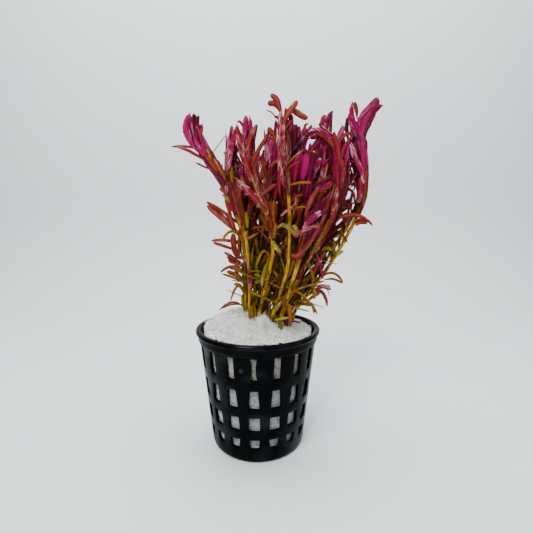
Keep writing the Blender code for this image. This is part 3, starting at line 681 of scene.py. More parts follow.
# The stems. Twenty cuttings of a red stem plant, golden and juicy, pushed into the
# wool: each has a ring at every node and thickens where leaf bases clasp it.
STEM_BOTTOM = 27.0       # in mm
STEM_RADIUS = 0.9 * MM
SHEATH_RADIUS = 1.5 * MM
SHEATH_START = 0.62      # as a share of the stem's length
SHEATH_LATENESS = 2.5    # how late it thickens from there
CROWN_FOOT = 0.95        # how wide a crown begins, as a share of its sheath
# How far a crown has swelled from that to its full size, at shares of its length.
CROWN_SWELL = ((0.0, 0.0), (0.35, 0.3), (0.68, 1.0), (0.92, 1.0), (1.0, 0.85))

# One stem: its route above the wool, then on along the axis of its crown, the
# crown's width, depth and length, and the ends of its topmost leaves, all in mm.
# Then how magenta its crown is, from 0 olive to 1 purple, and how pale its painted wet sheen.
Shoot = namedtuple("Shoot", "route crown width depth bundle tips blush sheen")
SHOOTS = {
    "01": Shoot(
        ((-5.5, 0.5, 50), (-5, 0, 70), (-6.5, -0.5, 86), (-9.5, 0, 97), (-14.5, 1, 108), (-20.5, 2, 118)),
        ((-25.6, 2.5, 126.5),), 6, 5, 38,
        ((-29.4, 3, 129), (-27, 1.5, 134), (-23.5, 3, 133.5), (-21.2, 1, 129.5)), 0.84, 0.35,
    ),
    "02": Shoot(
        ((-4, 3.8, 50), (-5, 4, 72), (-7.5, 5, 90), (-11, 7, 103), (-12, 8, 110)),
        ((-11.5, 8.5, 122),), 4.5, 3.5, 27,
        ((-13.5, 8, 128), (-11, 10, 131.5), (-9, 8, 129)), 0.84, 1.0,
    ),
    "03": Shoot(
        ((-0.8, 5.8, 50), (-2, 7, 75), (-3, 9, 95), (-3.5, 11.5, 111)),
        ((-4.5, 12.5, 127),), 5.5, 4.5, 34,
        ((-6.5, 14, 134), (-3.5, 13, 136.5), (-1.5, 12, 131)), 0.88, 0.6,
    ),
    "04": Shoot(
        ((-3.2, -2.6, 50), (-3.5, -3.5, 72), (-5, -5, 90), (-7, -6, 99)),
        ((-6.5, -6.5, 107),), 4.5, 4, 18,
        ((-8, -7.5, 111), (-5, -6, 113)), 0.92, 0.3,
    ),
    "05": Shoot(
        ((0.3, -5.2, 50), (3, -5.8, 64), (6, -7.5, 78), (5.5, -8.5, 86), (3, -9.5, 97), (-1, -11.5, 108)),
        ((-3, -12, 115),), 4, 3.5, 34,
        ((-7.2, -13.5, 125), (0.6, -12, 125.3), (-4, -10.5, 121)), 0.68, 0.6,
    ),
    "06": Shoot(
        ((0.2, 1.2, 50), (1, 1, 75), (3.2, 2, 95), (5, 3, 109)),
        ((4.5, 3, 121),), 5.5, 4.5, 32,
        ((2.5, 3, 128), (4.5, 5, 129.5), (7.5, 3, 128)), 0.86, 0.8,
    ),
    "07": Shoot(
        ((5.2, -7.6, 50), (8, -9.3, 61), (11.2, -11, 72), (12, -12, 80), (12, -13, 93), (11.3, -14, 103)),
        ((9.5, -16, 126),), 3.4, 3, 24,
        ((4.5, -16, 134.3), (3.5, -18, 130), (14.4, -16, 132), (17.6, -18, 125.5), (8, -13, 131)),
        0.72, 0.8,
    ),
    "08": Shoot(
        ((3.6, 3.2, 50), (7, 4, 72), (10, 5, 92), (12.5, 6, 106)),
        ((14.5, 6.5, 122),), 7.5, 5, 34,
        ((12.4, 6, 129.5), (15, 8, 131.5), (18, 6, 128)), 0.96, 0.1,
    ),
    "09": Shoot(
        ((6.4, 6.8, 50), (10, 9, 72), (14.5, 13, 95), (17, 15, 111)),
        ((18.5, 16, 125),), 6, 5, 36,
        ((17.5, 16, 133.3), (21, 17.5, 134), (22.5, 15, 129)), 0.88, 0.3,
    ),
    "10": Shoot(
        ((10.6, -0.8, 50), (17, 0, 66), (25, 0, 82), (31, -0.5, 96), (33, 0, 108)),
        ((32, -0.5, 116), (29.5, -1, 121.5), (26, -1, 125)), 4, 3.5, 40,
        ((20.5, -1, 126), (19, -2.5, 122.5), (24, 0.5, 129.5)), 0.76, 0.35,
    ),
    "11": Shoot(
        ((9.6, 5.2, 50), (15, 7, 72), (22, 9, 92), (26, 11, 108)),
        ((29, 12, 126),), 6.5, 4.5, 36,
        ((31.8, 12.5, 138.5), (27, 11.5, 135.5), (25, 13, 131)), 0.92, 0.35,
    ),
    "12": Shoot(
        ((11.6, -3.6, 50), (14.4, -4, 62), (19.5, -5.5, 75), (25, -7, 85), (30, -8.5, 96),
         (31.5, -9.5, 105)),
        ((30.5, -10.5, 117),), 6, 4.5, 36,
        ((30.7, -11, 125.5), (35.3, -12, 122.5), (27.8, -10, 123)), 0.72, 0.4,
    ),
    "13": Shoot(
        ((12.9, 3, 50), (20, 3.5, 62), (30, 4.5, 77), (39, 5.5, 92), (43.3, 6, 104)),
        ((40.5, 6, 128),), 6, 5, 36,
        ((38, 7, 139.4), (37.3, 4.5, 134.5), (41.5, 7, 134)), 0.87, 0.8,
    ),
    "14": Shoot(
        ((14.1, -0.9, 50), (19.5, -0.8, 60), (29, -0.5, 73), (37.5, -0.5, 88), (42.3, 0, 100)),
        ((42.5, 0, 113), (40.9, 0, 124), (45, 0, 133.5)), 3.4, 3.6, 42,
        ((47, 0, 139.3), (49, -0.5, 136), (44.5, 1, 137.8)), 0.9, 0.45,
    ),
    "15": Shoot(
        ((6.3, -4.4, 50), (10.5, -5.5, 68), (14.5, -7, 86), (16.5, -9, 97)),
        ((18, -12, 111),), 8, 5, 30,
        ((15, -13, 117), (19, -14, 118.5), (22, -12, 115)), 0.88, 0.15,
    ),
    "16": Shoot(
        ((7.4, -1.6, 50), (11, -2, 68), (16, -3, 85), (20, -4.5, 99)),
        ((24, -6, 112),), 6, 4.5, 32,
        ((22.5, -6.5, 118), (26, -6, 119.5), (27.5, -7, 115)), 0.80, 0.6,
    ),
    "17": Shoot(
        ((9, -7, 50), (12, -9, 62), (15, -11.5, 74), (17.5, -14.5, 83)),
        ((21.5, -17, 92),), 5.5, 4.5, 20,
        ((24.5, -18, 98.5), (25.5, -17, 94.5), (21, -19, 97)), 0.97, 0.5,
    ),
    "18": Shoot(
        ((-3.5, 7, 50), (-5, 10.5, 75), (-8, 15, 93), (-10, 18, 103)),
        ((-11, 20, 114),), 6, 5, 28,
        ((-13.5, 21, 119), (-10, 22.5, 121), (-8.5, 19, 118)), 0.9, 0.4,
    ),
    "19": Shoot(
        ((3, 9, 50), (3.5, 13.5, 75), (4.5, 18, 94), (5, 20.5, 105)),
        ((5, 22.5, 117),), 6.5, 5, 30,
        ((2.5, 24, 122.5), (5.5, 25.5, 124.5), (8, 22.5, 121)), 0.88, 0.4,
    ),
    "20": Shoot(
        ((8.8, 9.8, 50), (12, 14, 72), (17, 19.5, 91), (20, 22.5, 102)),
        ((22, 24.5, 113),), 6, 5, 28,
        ((24.5, 24.5, 119), (22, 27, 121), (19.5, 25, 117)), 0.84, 0.4,
    ),
}


def smooth_curve(knots, count_between):
    """Points on a smooth curve through knots, as many from each to the next as count_between says."""
    padded = [knots[0] * 2 - knots[1], *knots, knots[-1] * 2 - knots[-2]]
    points = []
    for a, b, c, d in zip(padded, padded[1:], padded[2:], padded[3:]):
        count = count_between(b, c)
        for k in range(count):
            t = k / count
            bend = (2 * a - 5 * b + 4 * c - d) * t**2 + (3 * b - a - 3 * c + d) * t**3
            points.append(0.5 * (2 * b + (c - a) * t + bend))
    points.append(knots[-1])
    return points


def distances_along(points):
    return [0.0, *np.cumsum([(b - a).length for a, b in zip(points, points[1:])])]


def point_along(points, distances, distance):
    k = min(max(int(np.searchsorted(distances, distance)), 1), len(points) - 1)
    share = (distance - distances[k - 1]) / (distances[k] - distances[k - 1])
    return points[k - 1].lerp(points[k], share)


class Route:
    """A smooth centre line through a stem's waypoints, which its crown takes the last part of."""

    def __init__(self, shoot, step=0.7 * MM):
        foot = (shoot.route[0][0], shoot.route[0][1], STEM_BOTTOM)
        knots = [Vector(knot) * MM for knot in (foot, *shoot.route, *shoot.crown)]
        self.points = smooth_curve(knots, lambda b, c: max(2, round((c - b).length / step)))
        self.distances = distances_along(self.points)
        self.length = self.distances[-1]
        self.stem_length = self.length - shoot.bundle * MM

    def at(self, distance):
        return point_along(self.points, self.distances, distance)

    def heading(self, distance, reach=2.0 * MM):
        low = max(distance - reach, 0.0)
        high = min(distance + reach, self.length)
        return (self.at(high) - self.at(low)).normalized()

    def sides(self, distance):
        """The two directions square to the stem: across the view, and away from it."""
        heading = self.heading(distance)
        across = (Vector((1, 0, 0)) - heading * heading.x).normalized()
        return across, heading.cross(across)

    def distance_at_height(self, height):
        return float(np.interp(height, [point.z for point in self.points], self.distances))


def half_sizes(shoot, route, distance):
    """Half the width and half the depth of a shoot: a bare stem, then its sheath, then its crown."""
    share = distance / route.stem_length
    if share <= 1:
        grown = max(0.0, (share - SHEATH_START) / (1 - SHEATH_START))
        radius = STEM_RADIUS + (SHEATH_RADIUS - STEM_RADIUS) * grown**SHEATH_LATENESS
        return radius, radius
    share = (distance - route.stem_length) / (route.length - route.stem_length)
    base = SHEATH_RADIUS * CROWN_FOOT
    swell = float(np.interp(share, *zip(*CROWN_SWELL)))
    return tuple(base + (size / 2 * MM - base) * swell for size in (shoot.width, shoot.depth))


golden_stem, shader, wire = new_material(
    "golden_stem", Metallic=0.0, Coat_Roughness=0.08, Coat_IOR=1.45, Specular_IOR_Level=0.12)
ripe = attribute(wire, "ripe")
patch = noise(wire, object_coordinates(wire), 260, 4)
streak = noise(wire, object_coordinates(wire, (1, 1, 0.12)), 1500, 3)
glints = noise(wire, object_coordinates(wire, (1, 1, 0.45)), 1000, 2)
ring_mark = attribute(wire, "ring")
gold = wire.node("ShaderNodeValToRGB", {"stops": (
    (0.0, (0.120, 0.100, 0.000)),
    (0.3, (0.540, 0.290, 0.000)),
    (0.6, (0.500, 0.190, 0.002)),
    (0.8, (0.300, 0.070, 0.004)),
    (1.0, (0.260, 0.020, 0.016)),
)}, {0: ripe + 1.6 * (patch - 0.5)})
streaked = (streak.clamped(0.46, 0.60) * 0.55).mix(gold, (0.090, 0.035, 0.002, 1))
ringed = (ring_mark * 0.65).mix(streaked, (0.12, 0.045, 0.006, 1))
wire_up(
    golden_stem.node_tree, shader,
    Base_Color=(glints.clamped(0.64, 0.70) * 0.6).mix(ringed, (0.95, 0.80, 0.50, 1)),
    Roughness=0.28 + 0.2 * patch,
    Coat_Weight=0.05 + 0.7 * patch.clamped(0.5, 0.65),
    Normal=wire.node("ShaderNodeBump", {}, {
        "Height": streak + 0.4 * patch, "Strength": 0.5, "Distance": 0.15 * MM}),
)

# How thick each stem is between its rings, as a share of the radius: the thinner ones,
# and all the others.
STEM_SLIM = {"07": 0.66, "03": 0.7, "06": 0.7, "04": 0.74}
STEM_COMMON = 0.84
RING_BULGE = 0.16
RING_LENGTH = 0.55 * MM
STEM_TAPER = 0.55        # how much of its thickness a stem loses within its crown
STEM_END = 3 * MM        # how far it ends below the crown's end
# How ripe it is, from 0 green-gold to 1 red, at these heights in mm.
STEM_RIPE_HEIGHTS = (48, 123)
STEM_RIPENESS = (0.15, 0.65)
# The nodes: the first one above the wool, how far apart they are, how much closer each
# is to the last within the sheath, and the least that they are apart there.
FIRST_NODE = 49 * MM
NODE_GAP = 7.5 * MM
NODE_CLOSING = 0.86
NODE_LEAST = 3.2 * MM
LAST_NODE = 8 * MM       # below the crown's end
draw = random.Random(31)
routes = {name: Route(shoot) for name, shoot in SHOOTS.items()}
nodes_of = {}
lines, girths, ripes, rings = [], [], [], []
for name, route in routes.items():
    place = route.distance_at_height(FIRST_NODE) + draw.uniform(0, 5) * MM
    nodes_of[name] = []
    gap = NODE_GAP
    while place < route.length - LAST_NODE:
        nodes_of[name].append(place)
        if place < SHEATH_START * route.stem_length:
            gap = NODE_GAP
        else:
            gap = max(gap * NODE_CLOSING, NODE_LEAST)
        place += gap * draw.uniform(0.8, 1.25)
    top = route.length - STEM_END
    line, girth, tone, ring = [], [], [], []
    for point, distance in zip(route.points, route.distances):
        if distance > top:
            break
        near = min(abs(distance - node) for node in nodes_of[name])
        bulge = math.exp(-((near / RING_LENGTH) ** 2))
        slim = 1.0
        if distance >= route.stem_length:
            slim -= STEM_TAPER * (distance - route.stem_length) / (top - route.stem_length)
        thickness = STEM_SLIM.get(name, STEM_COMMON) + RING_BULGE * bulge
        line.append(point)
        girth.append(float(thickness * STEM_RADIUS * slim))
        tone.append(float(np.interp(point.z / MM, STEM_RIPE_HEIGHTS, STEM_RIPENESS)))
        ring.append(float(bulge))
    lines.append(line)
    girths.append(girth)
    ripes.append(tone)
    rings.append(ring)
stem_tree = round_rod_tree("stem_along_route", 1.0, 10, golden_stem)
stem_lines = line_mesh("stem_lines", lines, girth=girths, ripe=ripes, ring=rings)
stem_mesh = grown_mesh(stem_lines, stem_tree)
add_piece("stems", stem_mesh, None, "stem", *[f"stem_{name}" for name in SHOOTS])


# The leaves. Narrow wet blades, one to three millimetres wide, thin and glossy, with
# a sunk midrib: green-gold low on the stem, red above, and magenta underneath.
LEAF_SIDES = 10
LEAF_STATIONS = 13
LEAF_THIN = 0.16         # thickness, as a share of the width
LEAF_FOLD = 0.05         # how far the blade is folded along its midrib, likewise
FACET_ALLOWANCE = 1.06   # makes up for what ten sides cut off the round of a blade

wet_leaf, shader, wire = new_material(
    "wet_leaf", Metallic=0.0, Coat_Roughness=0.06, Coat_IOR=1.45, Specular_IOR_Level=0.06)
ripeness = attribute(wire, "ripeness")
pale = attribute(wire, "pale")
shade = attribute(wire, "shade")
across = attribute(wire, "across")
along = attribute(wire, "along")
under = attribute(wire, "under")
blotch = noise(wire, object_coordinates(wire), 230, 5, 0.6)
fleck = noise(wire, object_coordinates(wire), 900, 3)
vein_place = wire.node("ShaderNodeCombineXYZ", {}, {
    0: across * 5.0, 1: along * 0.8, 2: ripeness * 40.0})
veins = noise(wire, vein_place, 3.2, 3, 0.5)
dash_place = wire.node("ShaderNodeCombineXYZ", {}, {
    0: across * 2.6, 1: along * 5.0, 2: ripeness * 40.0})
dashes = noise(wire, dash_place, 1.1, 2, 0.5)
sheen_patches = noise(wire, object_coordinates(wire), 210, 2, 0.5)
midrib = 1 - wire.math("ABSOLUTE", across).clamped(0.03, 0.16)
tone = ripeness + 0.14 * (blotch - 0.5) + 0.06 * (under - 0.5) - 0.03 * midrib
# Towards its top end the ramp turns from deep purple to near black: leaves ripe near 1 are partly their
# own deep purple and partly painted as lying in shade.
colour = wire.node("ShaderNodeValToRGB", {"stops": (
    (0.00, (0.380, 0.400, 0.000)),
    (0.14, (0.160, 0.140, 0.000)),
    (0.28, (0.360, 0.190, 0.000)),
    (0.42, (0.205, 0.046, 0.005)),
    (0.56, (0.210, 0.017, 0.014)),
    (0.68, (0.235, 0.005, 0.024)),
    (0.79, (0.310, 0.000, 0.050)),
    (0.89, (0.350, 0.000, 0.100)),
    (0.95, (0.090, 0.000, 0.020)),
    (1.00, (0.012, 0.000, 0.003)),
)}, {0: tone})
mottle = (1 - fleck.clamped(0.36, 0.50)) * (0.55 - 0.4 * ripeness.clamped(0.75, 0.88))
mottled = mottle.mix(colour, (0.030, 0.006, 0.002, 1))
# Painted shade: each blade darkens to near black towards its edges, where it meets its neighbours.
painted_edge_shade = (across * across * across * across * 0.6).mix(mottled, (0.010, 0.001, 0.001, 1))
rib_shows = midrib * (1 - ripeness.clamped(0.62, 0.85))
ribbed = (rib_shows * 0.45).mix(painted_edge_shade, (0.42, 0.24, 0.01, 1))
veined = (veins.clamped(0.45, 0.7) * 0.25).mix(ribbed, (0.42, 0.05, 0.05, 1))
# Painted sheen: pale pink and golden streaks mixed into the base colour stand in for the shine of the wet
# leaves, as much as the attribute pale asks for.
painted_sheen_colour = ripeness.clamped(0.5, 0.8).mix((0.78, 0.48, 0.32, 1), (0.80, 0.42, 0.52, 1))
painted_sheen = dashes.clamped(0.46, 0.60) * sheen_patches.clamped(0.42, 0.58) * pale.clamped(0.1, 0.95)
wire_up(
    wet_leaf.node_tree, shader,
    Base_Color=shade.mix((painted_sheen * 0.85).mix(veined, painted_sheen_colour), (0.010, 0.006, 0.002, 1)),
    Roughness=0.30 + 0.25 * fleck,
    Coat_Weight=0.01 + 0.9 * blotch.clamped(0.57, 0.63),
    Normal=wire.node("ShaderNodeBump", {}, {
        "Height": veins + 0.6 * dashes - 0.7 * midrib, "Strength": 0.8, "Distance": 0.25 * MM}),
)

leaf_tree, source, given = geometry_tree(
    "leaf_along_midrib", Thinness=LEAF_THIN, Fold=LEAF_FOLD, Sides=LEAF_SIDES)
facing = source.node("GeometryNodeInputNamedAttribute", {"data_type": "FLOAT_VECTOR"}, {
    "Name": "facing"})
wide = source.node("GeometryNodeInputNamedAttribute", {"data_type": "FLOAT"}, {"Name": "wide"})
cup = source.node("GeometryNodeInputNamedAttribute", {"data_type": "FLOAT"}, {"Name": "cup"})
midribs = source.node("GeometryNodeMeshToCurve", {}, {0: source})
faced = source.node("GeometryNodeSetCurveNormal", {"mode": "FREE"}, {0: midribs, "Normal": facing})
progress = source.node("GeometryNodeSplineParameter")
noted = source.node("GeometryNodeCaptureAttribute", {"captured": (("along", "FLOAT"),)},
                    {0: faced, "along": progress})
circle = source.node("GeometryNodeCurvePrimitiveCircle", {}, {
    "Resolution": given["Sides"], "Radius": FACET_ALLOWANCE})
spot = source.node("GeometryNodeInputPosition")
spot_x = source.node("ShaderNodeSeparateXYZ", {}, {0: spot})
spot_y = spot_x.other("Y")
folded = 1 - source.math("ABSOLUTE", spot_y).clamped(0.02, 0.22)
squashed = source.node("ShaderNodeCombineXYZ", {}, {
    0: spot_x * given["Thinness"] + given["Fold"] * folded, 1: spot_y, 2: 0.0})
blade = source.node("GeometryNodeSetPosition", {}, {0: circle, "Position": squashed})
section = source.node("GeometryNodeCaptureAttribute",
                      {"captured": (("across", "FLOAT"), ("under", "FLOAT"))},
                      {0: blade, "across": spot_y, "under": spot_x.clamped(-0.2, 0.2)})
leaves = source.node("GeometryNodeCurveToMesh", {}, {
    "Curve": noted, "Profile Curve": section, "Scale": wide, "Fill Caps": True})
across_there = section.other("across")
lift = source.node("ShaderNodeVectorMath", {"operation": "SCALE"}, {
    0: facing, "Scale": wide * cup * across_there * across_there})
cupped = source.node("GeometryNodeSetPosition", {}, {0: leaves, "Offset": lift})
for label, output in (("along", noted), ("across", section), ("under", section)):
    cupped = source.node("GeometryNodeStoreNamedAttribute", {"data_type": "FLOAT", "domain": "POINT"}, {
        0: cupped, "Name": label, "Value": output.other(label)})
end_tree(cupped, wet_leaf)

# The stations of a leaf, as shares of its length: closer together towards the tip.
STATION_CROWDING = 1.4
LEFT_TO_TIP = [1 - k / (LEAF_STATIONS - 1) for k in range(LEAF_STATIONS)]
STATION_SHARES = [1 - left**STATION_CROWDING for left in LEFT_TO_TIP]
# The outline of a leaf: how wide its foot is, as a share of the full width, and at what
# shares of its length it has that full width and then begins to round off.
FOOT_WIDTH = 0.45
FOOT_END = 0.45
TIP_START = 0.7
TIP_BLUNTNESS = 2.6
LEAST_WIDTH = 0.03 * MM


def blade_outline(share):
    """Half the width of a leaf at a share of its length: narrow foot, full middle, blunt tip."""
    widened = math.sin(min(share / FOOT_END, 1.0) * math.pi / 2)
    foot = FOOT_WIDTH + (1 - FOOT_WIDTH) * widened
    if share < TIP_START:
        return foot
    rounded_off = ((share - TIP_START) / (1 - TIP_START)) ** TIP_BLUNTNESS
    return foot * math.sqrt(max(0.0, 1 - rounded_off))


class LeafBed:
    """Leaves gathered for one piece: a midrib for each, with what the leaf tree reads at its points."""

    def __init__(self):
        self.lines = []
        labels = ("facing", "wide", "cup", "ripeness", "pale", "shade")
        self.fields = {label: [] for label in labels}

    def add(self, points, facings, width, ripeness, pale, cup=-0.35, twist=0.0, shade=0.0):
        count = len(points)
        normals = []
        for k, point in enumerate(points):
            along = (points[min(k + 1, count - 1)] - points[max(k - 1, 0)]).normalized()
            normal = (facings[k] - along * facings[k].dot(along)).normalized()
            turn = twist * STATION_SHARES[k]
            normals.append(normal * math.cos(turn) + along.cross(normal) * math.sin(turn))
        low, high = ripeness
        widths = [max(width / 2 * blade_outline(share), LEAST_WIDTH) for share in STATION_SHARES]
        self.lines.append(points)
        self.fields["facing"].append(normals)
        self.fields["wide"].append(widths)
        self.fields["cup"].append([float(cup)] * count)
        self.fields["ripeness"].append([float(low + (high - low) * s) for s in STATION_SHARES])
        self.fields["pale"].append([float(pale)] * count)
        self.fields["shade"].append([float(shade)] * count)

    def piece(self, name, slot, *nodes):
        mesh = grown_mesh(line_mesh(name + "_lines", self.lines, **self.fields), leaf_tree)
        return add_piece(name, mesh, None, slot, *nodes)


def bezier(start, control, end, t):
    return start * (1 - t) ** 2 + control * 2 * t * (1 - t) + end * t**2


def smooth_midrib(knots):
    """Points at the stations of a leaf, on a smooth curve through its knots."""
    fine = smooth_curve(knots, lambda b, c: 8)
    distances = distances_along(fine)
    return [point_along(fine, distances, share * distances[-1]) for share in STATION_SHARES]


def ripeness_at(name, height):
    """How red a shoot's leaves are at a height in mm: olive at the wool, its own blush in its crown."""
    route, shoot = routes[name], SHOOTS[name]
    crown_base = route.at(route.stem_length).z / MM
    heights = (50, crown_base - 10, crown_base + 4, crown_base + 24)
    tones = (0.12, 0.28, 0.46, shoot.blush)
    return float(np.interp(height, heights, tones))


# The side leaves: opposite pairs along the stems. Each stands where its plain blade
# does in the frame, whose tip is a point with only three neighbours.
SIDE_LEAF_WIDTH = 2.1 * MM
CROWN_SIDE_LEAF_WIDTH = 2.16 * MM
RING_SHARE = 0.82        # where a plain blade is widest, as a share of its length
# How far a plain blade's tip stands from its stem's or crown's axis at least: nearer
# points of the frame's meshes aren't tips of side leaves.
STEM_TIP_REACH = 2.6 * MM
CROWN_TIP_REACH = 4.2 * MM
SAME_TIP = 0.5 * MM      # how near a tip is to the place that it is known by
BACKWARD_FAULT = 4 * MM  # held against a root whose leaf would point down its stem
# Leaves that stand out at the sides, by the place of their tips in mm: how ripe
# they are, how pale their painted wet sheen, and how wide in mm they are.
TURNED = (
    ((-33.8, -1, 120), 0.62, 0.3, 1.0),
    ((-12, -4, 123.5), 0.36, 0.1, 0.4),
    ((-13.5, -5, 101.5), 0.02, 0.6, 1.3),
    ((-20, -4, 98.6), 0.56, 0.3, 1.5),
    ((-13.8, -8, 82.8), 0.22, 0.1, 1.2),
    ((-19.5, 3, 83.2), 0.60, 0.4, 1.4),
    ((-13, -6, 79.2), 0.60, 0.7, 1.5),
    ((-15.1, -3, 70.6), 0.47, 0.3, 1.2),
    ((-10.7, -6, 59.4), 0.26, 0.1, 1.1),
    ((-15.4, -5, 55.5), 0.50, 0.4, 0.9),
    ((-7.3, -14, 105), 0.64, 1.0, 2.7),
    ((13, -16.5, 75.3), 0.22, 0.2, 1.4),
    ((-0.3, -12, 74), 0.20, 0.1, 1.0),
    ((15.1, -14, 85.2), 0.20, 0.5, 1.5),
    ((19, -18, 103.9), 0.30, 0.2, 1.0),
    ((41.4, -9, 91.9), 0.52, 0.2, 1.5),
    ((44.9, -5, 89.3), 0.56, 0.1, 1.1),
    ((34, -5, 66.8), 0.34, 0.2, 1.1),
    ((23.6, -8, 54.4), 0.26, 0.1, 1.2),
    ((28.2, -4, 56.9), 0.60, 0.4, 1.5),
    ((12.5, -16, 52.0), 0.34, 0.1, 1.9),
    ((33.9, -3, 104.4), 0.60, 0.2, 1.1),
    ((31.8, -4, 98.2), 0.62, 0.1, 1.2),
    ((7.9, -25.6, 114.8), 0.69, 0.5, 1.7),
)
TO_VIEW = Vector((0, -1, 0.1)).normalized()


def blades_of(node, route, clear):
    """Root, control point, tip and facing of a frame node's plain blades, whose tips stand clear."""
    bm = bmesh.new()
    bm.from_mesh(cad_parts[node].data)
    bmesh.ops.remove_doubles(bm, verts=bm.verts, dist=0.001 * MM)
    found = []
    for vert in bm.verts:
        if len(vert.link_edges) != 3:
            continue
        tip = vert.co.copy()
        corners = [link.other_vert(vert).co for link in vert.link_edges]
        if min((tip - point).length for point in route.points) < clear:
            continue
        pairs = ((0, 1, 2), (0, 2, 1), (1, 2, 0))
        a, b, c = max(pairs, key=lambda trio: (corners[trio[0]] - corners[trio[1]]).length)
        near = (corners[a] + corners[b]) / 2
        keel = corners[c] - near
        best = None
        for k in range(0, len(route.points) - 1, 2):
            root = route.points[k]
            control = near - root * (1 - RING_SHARE) ** 2 - tip * RING_SHARE**2
            control /= 2 * RING_SHARE * (1 - RING_SHARE)
            reach = control - root
            uneven = abs(reach.length - (tip - control).length)
            if reach.dot(route.heading(route.distances[k])) < 0:
                uneven += BACKWARD_FAULT
            if best is None or uneven < best[0]:
                best = (uneven, root, control)
        _, root, control = best
        along = (tip - near).normalized()
        facing = (keel - along * keel.dot(along)).normalized()
        found.append((root, control, tip, facing))
    bm.free()
    return found


def add_side_leaf(bed, points, facing, width, ripe, sheen):
    """Adds a side leaf as it is known from its tip, or else varied a little."""
    known = [row[1:] for row in TURNED if (Vector(row[0]) * MM - points[-1]).length < SAME_TIP]
    if known:
        ripe, sheen, width = known[0]
        width *= MM
        turned = (facing * 0.25 + TO_VIEW).normalized()
    else:
        ripe += draw.uniform(-0.14, 0.12)
        sheen *= draw.uniform(0.2, 1.0)
        width *= draw.uniform(0.75, 1.05)
        turned = (facing + TO_VIEW * draw.uniform(-0.2, 0.8)).normalized()
    cup, twist = draw.uniform(-0.5, -0.1), draw.uniform(-0.4, 0.4)
    bed.add(points, [turned] * len(points), width, (ripe - 0.05, ripe + 0.04), sheen, cup, twist)


draw = random.Random(17)
side_leaves = LeafBed()
crown_sides = {}
for name, route in routes.items():
    for root, control, tip, facing in blades_of("stem_" + name, route, STEM_TIP_REACH):
        points = [bezier(root, control, tip, t) for t in STATION_SHARES]
        add_side_leaf(side_leaves, points, facing, SIDE_LEAF_WIDTH, ripeness_at(name, tip.z / MM), 0.5)
    crown_sides[name] = blades_of("crown_" + name, route, CROWN_TIP_REACH)

# Between them the smaller leaves that fill the bunch from within: a pair at every
# node and one above it, green-gold to brown, that stay among the stems.
FILL_MARGIN = 1.0 * MM
FILL_REACH = 7 * MM      # how near the second nearest stem is to such a leaf's tip
FILL_STEP = 3.5 * MM     # from a node's pair to the one above it
FILL_END = 12 * MM       # below the crown's end, where there are no more
FILL_FLOOR = 51 * MM     # tips stay above the wool
STEM_SKIN = 0.6 * MM     # how far from a stem's axis a leaf starts
FILL_WIDTHS = (1.3, 2.4)
# The two sets of them: how long they are, how far they lean out in degrees, where the
# shade on them begins and how much of them lies in deep shade.
FILL_SETS = (
    ((8.0 * MM, 14.0 * MM), (8, 34), 0.0, 0.3),
    ((10.0 * MM, 17.0 * MM), (2, 14), 0.15, 0.4),
)
# The second set, the darker one, is left off the outermost stems, and its tips stay
# behind this depth and above this height.
OUTER_SHOOTS = ("01", "02", "13", "14")
DARK_FRONT = -7 * MM
DARK_FLOOR = 76 * MM


def inside_bunch(point):
    """Whether a place is among the stems at its height."""
    spots = [route.at(route.distance_at_height(point.z)) for route in routes.values()
             if point.z < route.points[-1].z]
    if len(spots) < 3:
        return False
    for axis in (0, 1):
        values = sorted(spot[axis] for spot in spots)
        if not values[0] - FILL_MARGIN < point[axis] < values[-1] + FILL_MARGIN:
            return False
    return sorted((spot - point).length for spot in spots)[1] < FILL_REACH


for lengths, leans, least_shade, deep_share in FILL_SETS:
    for name, route in routes.items():
        if least_shade and name in OUTER_SHOOTS:
            continue
        azimuth = draw.uniform(0, math.tau)
        places = nodes_of[name] + [node + FILL_STEP for node in nodes_of[name]]
        for place in sorted(places):
            if place > route.length - FILL_END:
                break
            azimuth += math.pi / 2 + draw.uniform(-0.5, 0.5)
            for turn in (azimuth, azimuth + math.pi):
                across, back = route.sides(place)
                away = across * math.cos(turn) + back * math.sin(turn)
                heading = route.heading(place)
                length = draw.uniform(*lengths)
                lean = math.radians(draw.uniform(*leans))
                root = route.at(place) + away * STEM_SKIN
                control = root + (heading * math.cos(lean) + away * math.sin(lean)) * length * 0.5
                droop = lean + math.radians(draw.uniform(-15, 45))
                tip = control + (heading * math.cos(droop) + away * math.sin(droop)) * length * 0.5
                if not inside_bunch(tip) or tip.z < FILL_FLOOR:
                    continue
                if least_shade and (tip.y < DARK_FRONT or tip.z < DARK_FLOOR):
                    continue
                points = [bezier(root, control, tip, t) for t in STATION_SHARES]
                ripe = ripeness_at(name, tip.z / MM) + draw.gauss(0, 0.10)
                shade = least_shade + draw.uniform(0.0, 0.3)
                if draw.random() < deep_share:
                    shade = draw.uniform(0.6, 0.95)
                width, pale = draw.uniform(*FILL_WIDTHS) * MM, draw.uniform(0.0, 0.4)
                cup, twist = draw.uniform(-0.5, 0.1), draw.uniform(-0.8, 0.8)
                ripes = (ripe - 0.05, ripe + 0.03)
                side_leaves.add(points, [-away] * len(points), width, ripes, pale, cup, twist, shade)
side_leaves.piece("stem_leaves", "crown_leaf")


# The crowns: at the end of each stem, long leaves lie close together round the axis,
# one pair above the other, and cling to each other, wet, until they part at their tips.
LEAF_LENGTHS = (12.0 * MM, 18.0 * MM)
SHORTEST_LEAF = 6 * MM
UPPER_PAIR = 2 * MM      # how far above each pair of the crown another one stands
UPPER_START = 8 * MM     # and how far below the crown that begins
CROWN_START = 3 * MM     # below the crown's foot, where its leaves begin
LEAF_RISE = 0.22         # the share of its length over which a leaf leaves the axis
LEAF_FOOT = 0.25         # where it starts there, as a share of the way out
FLARE_START = 0.6        # the share of its length from which its end stands off
CROWN_WIDTHS = (1.3, 2.1)
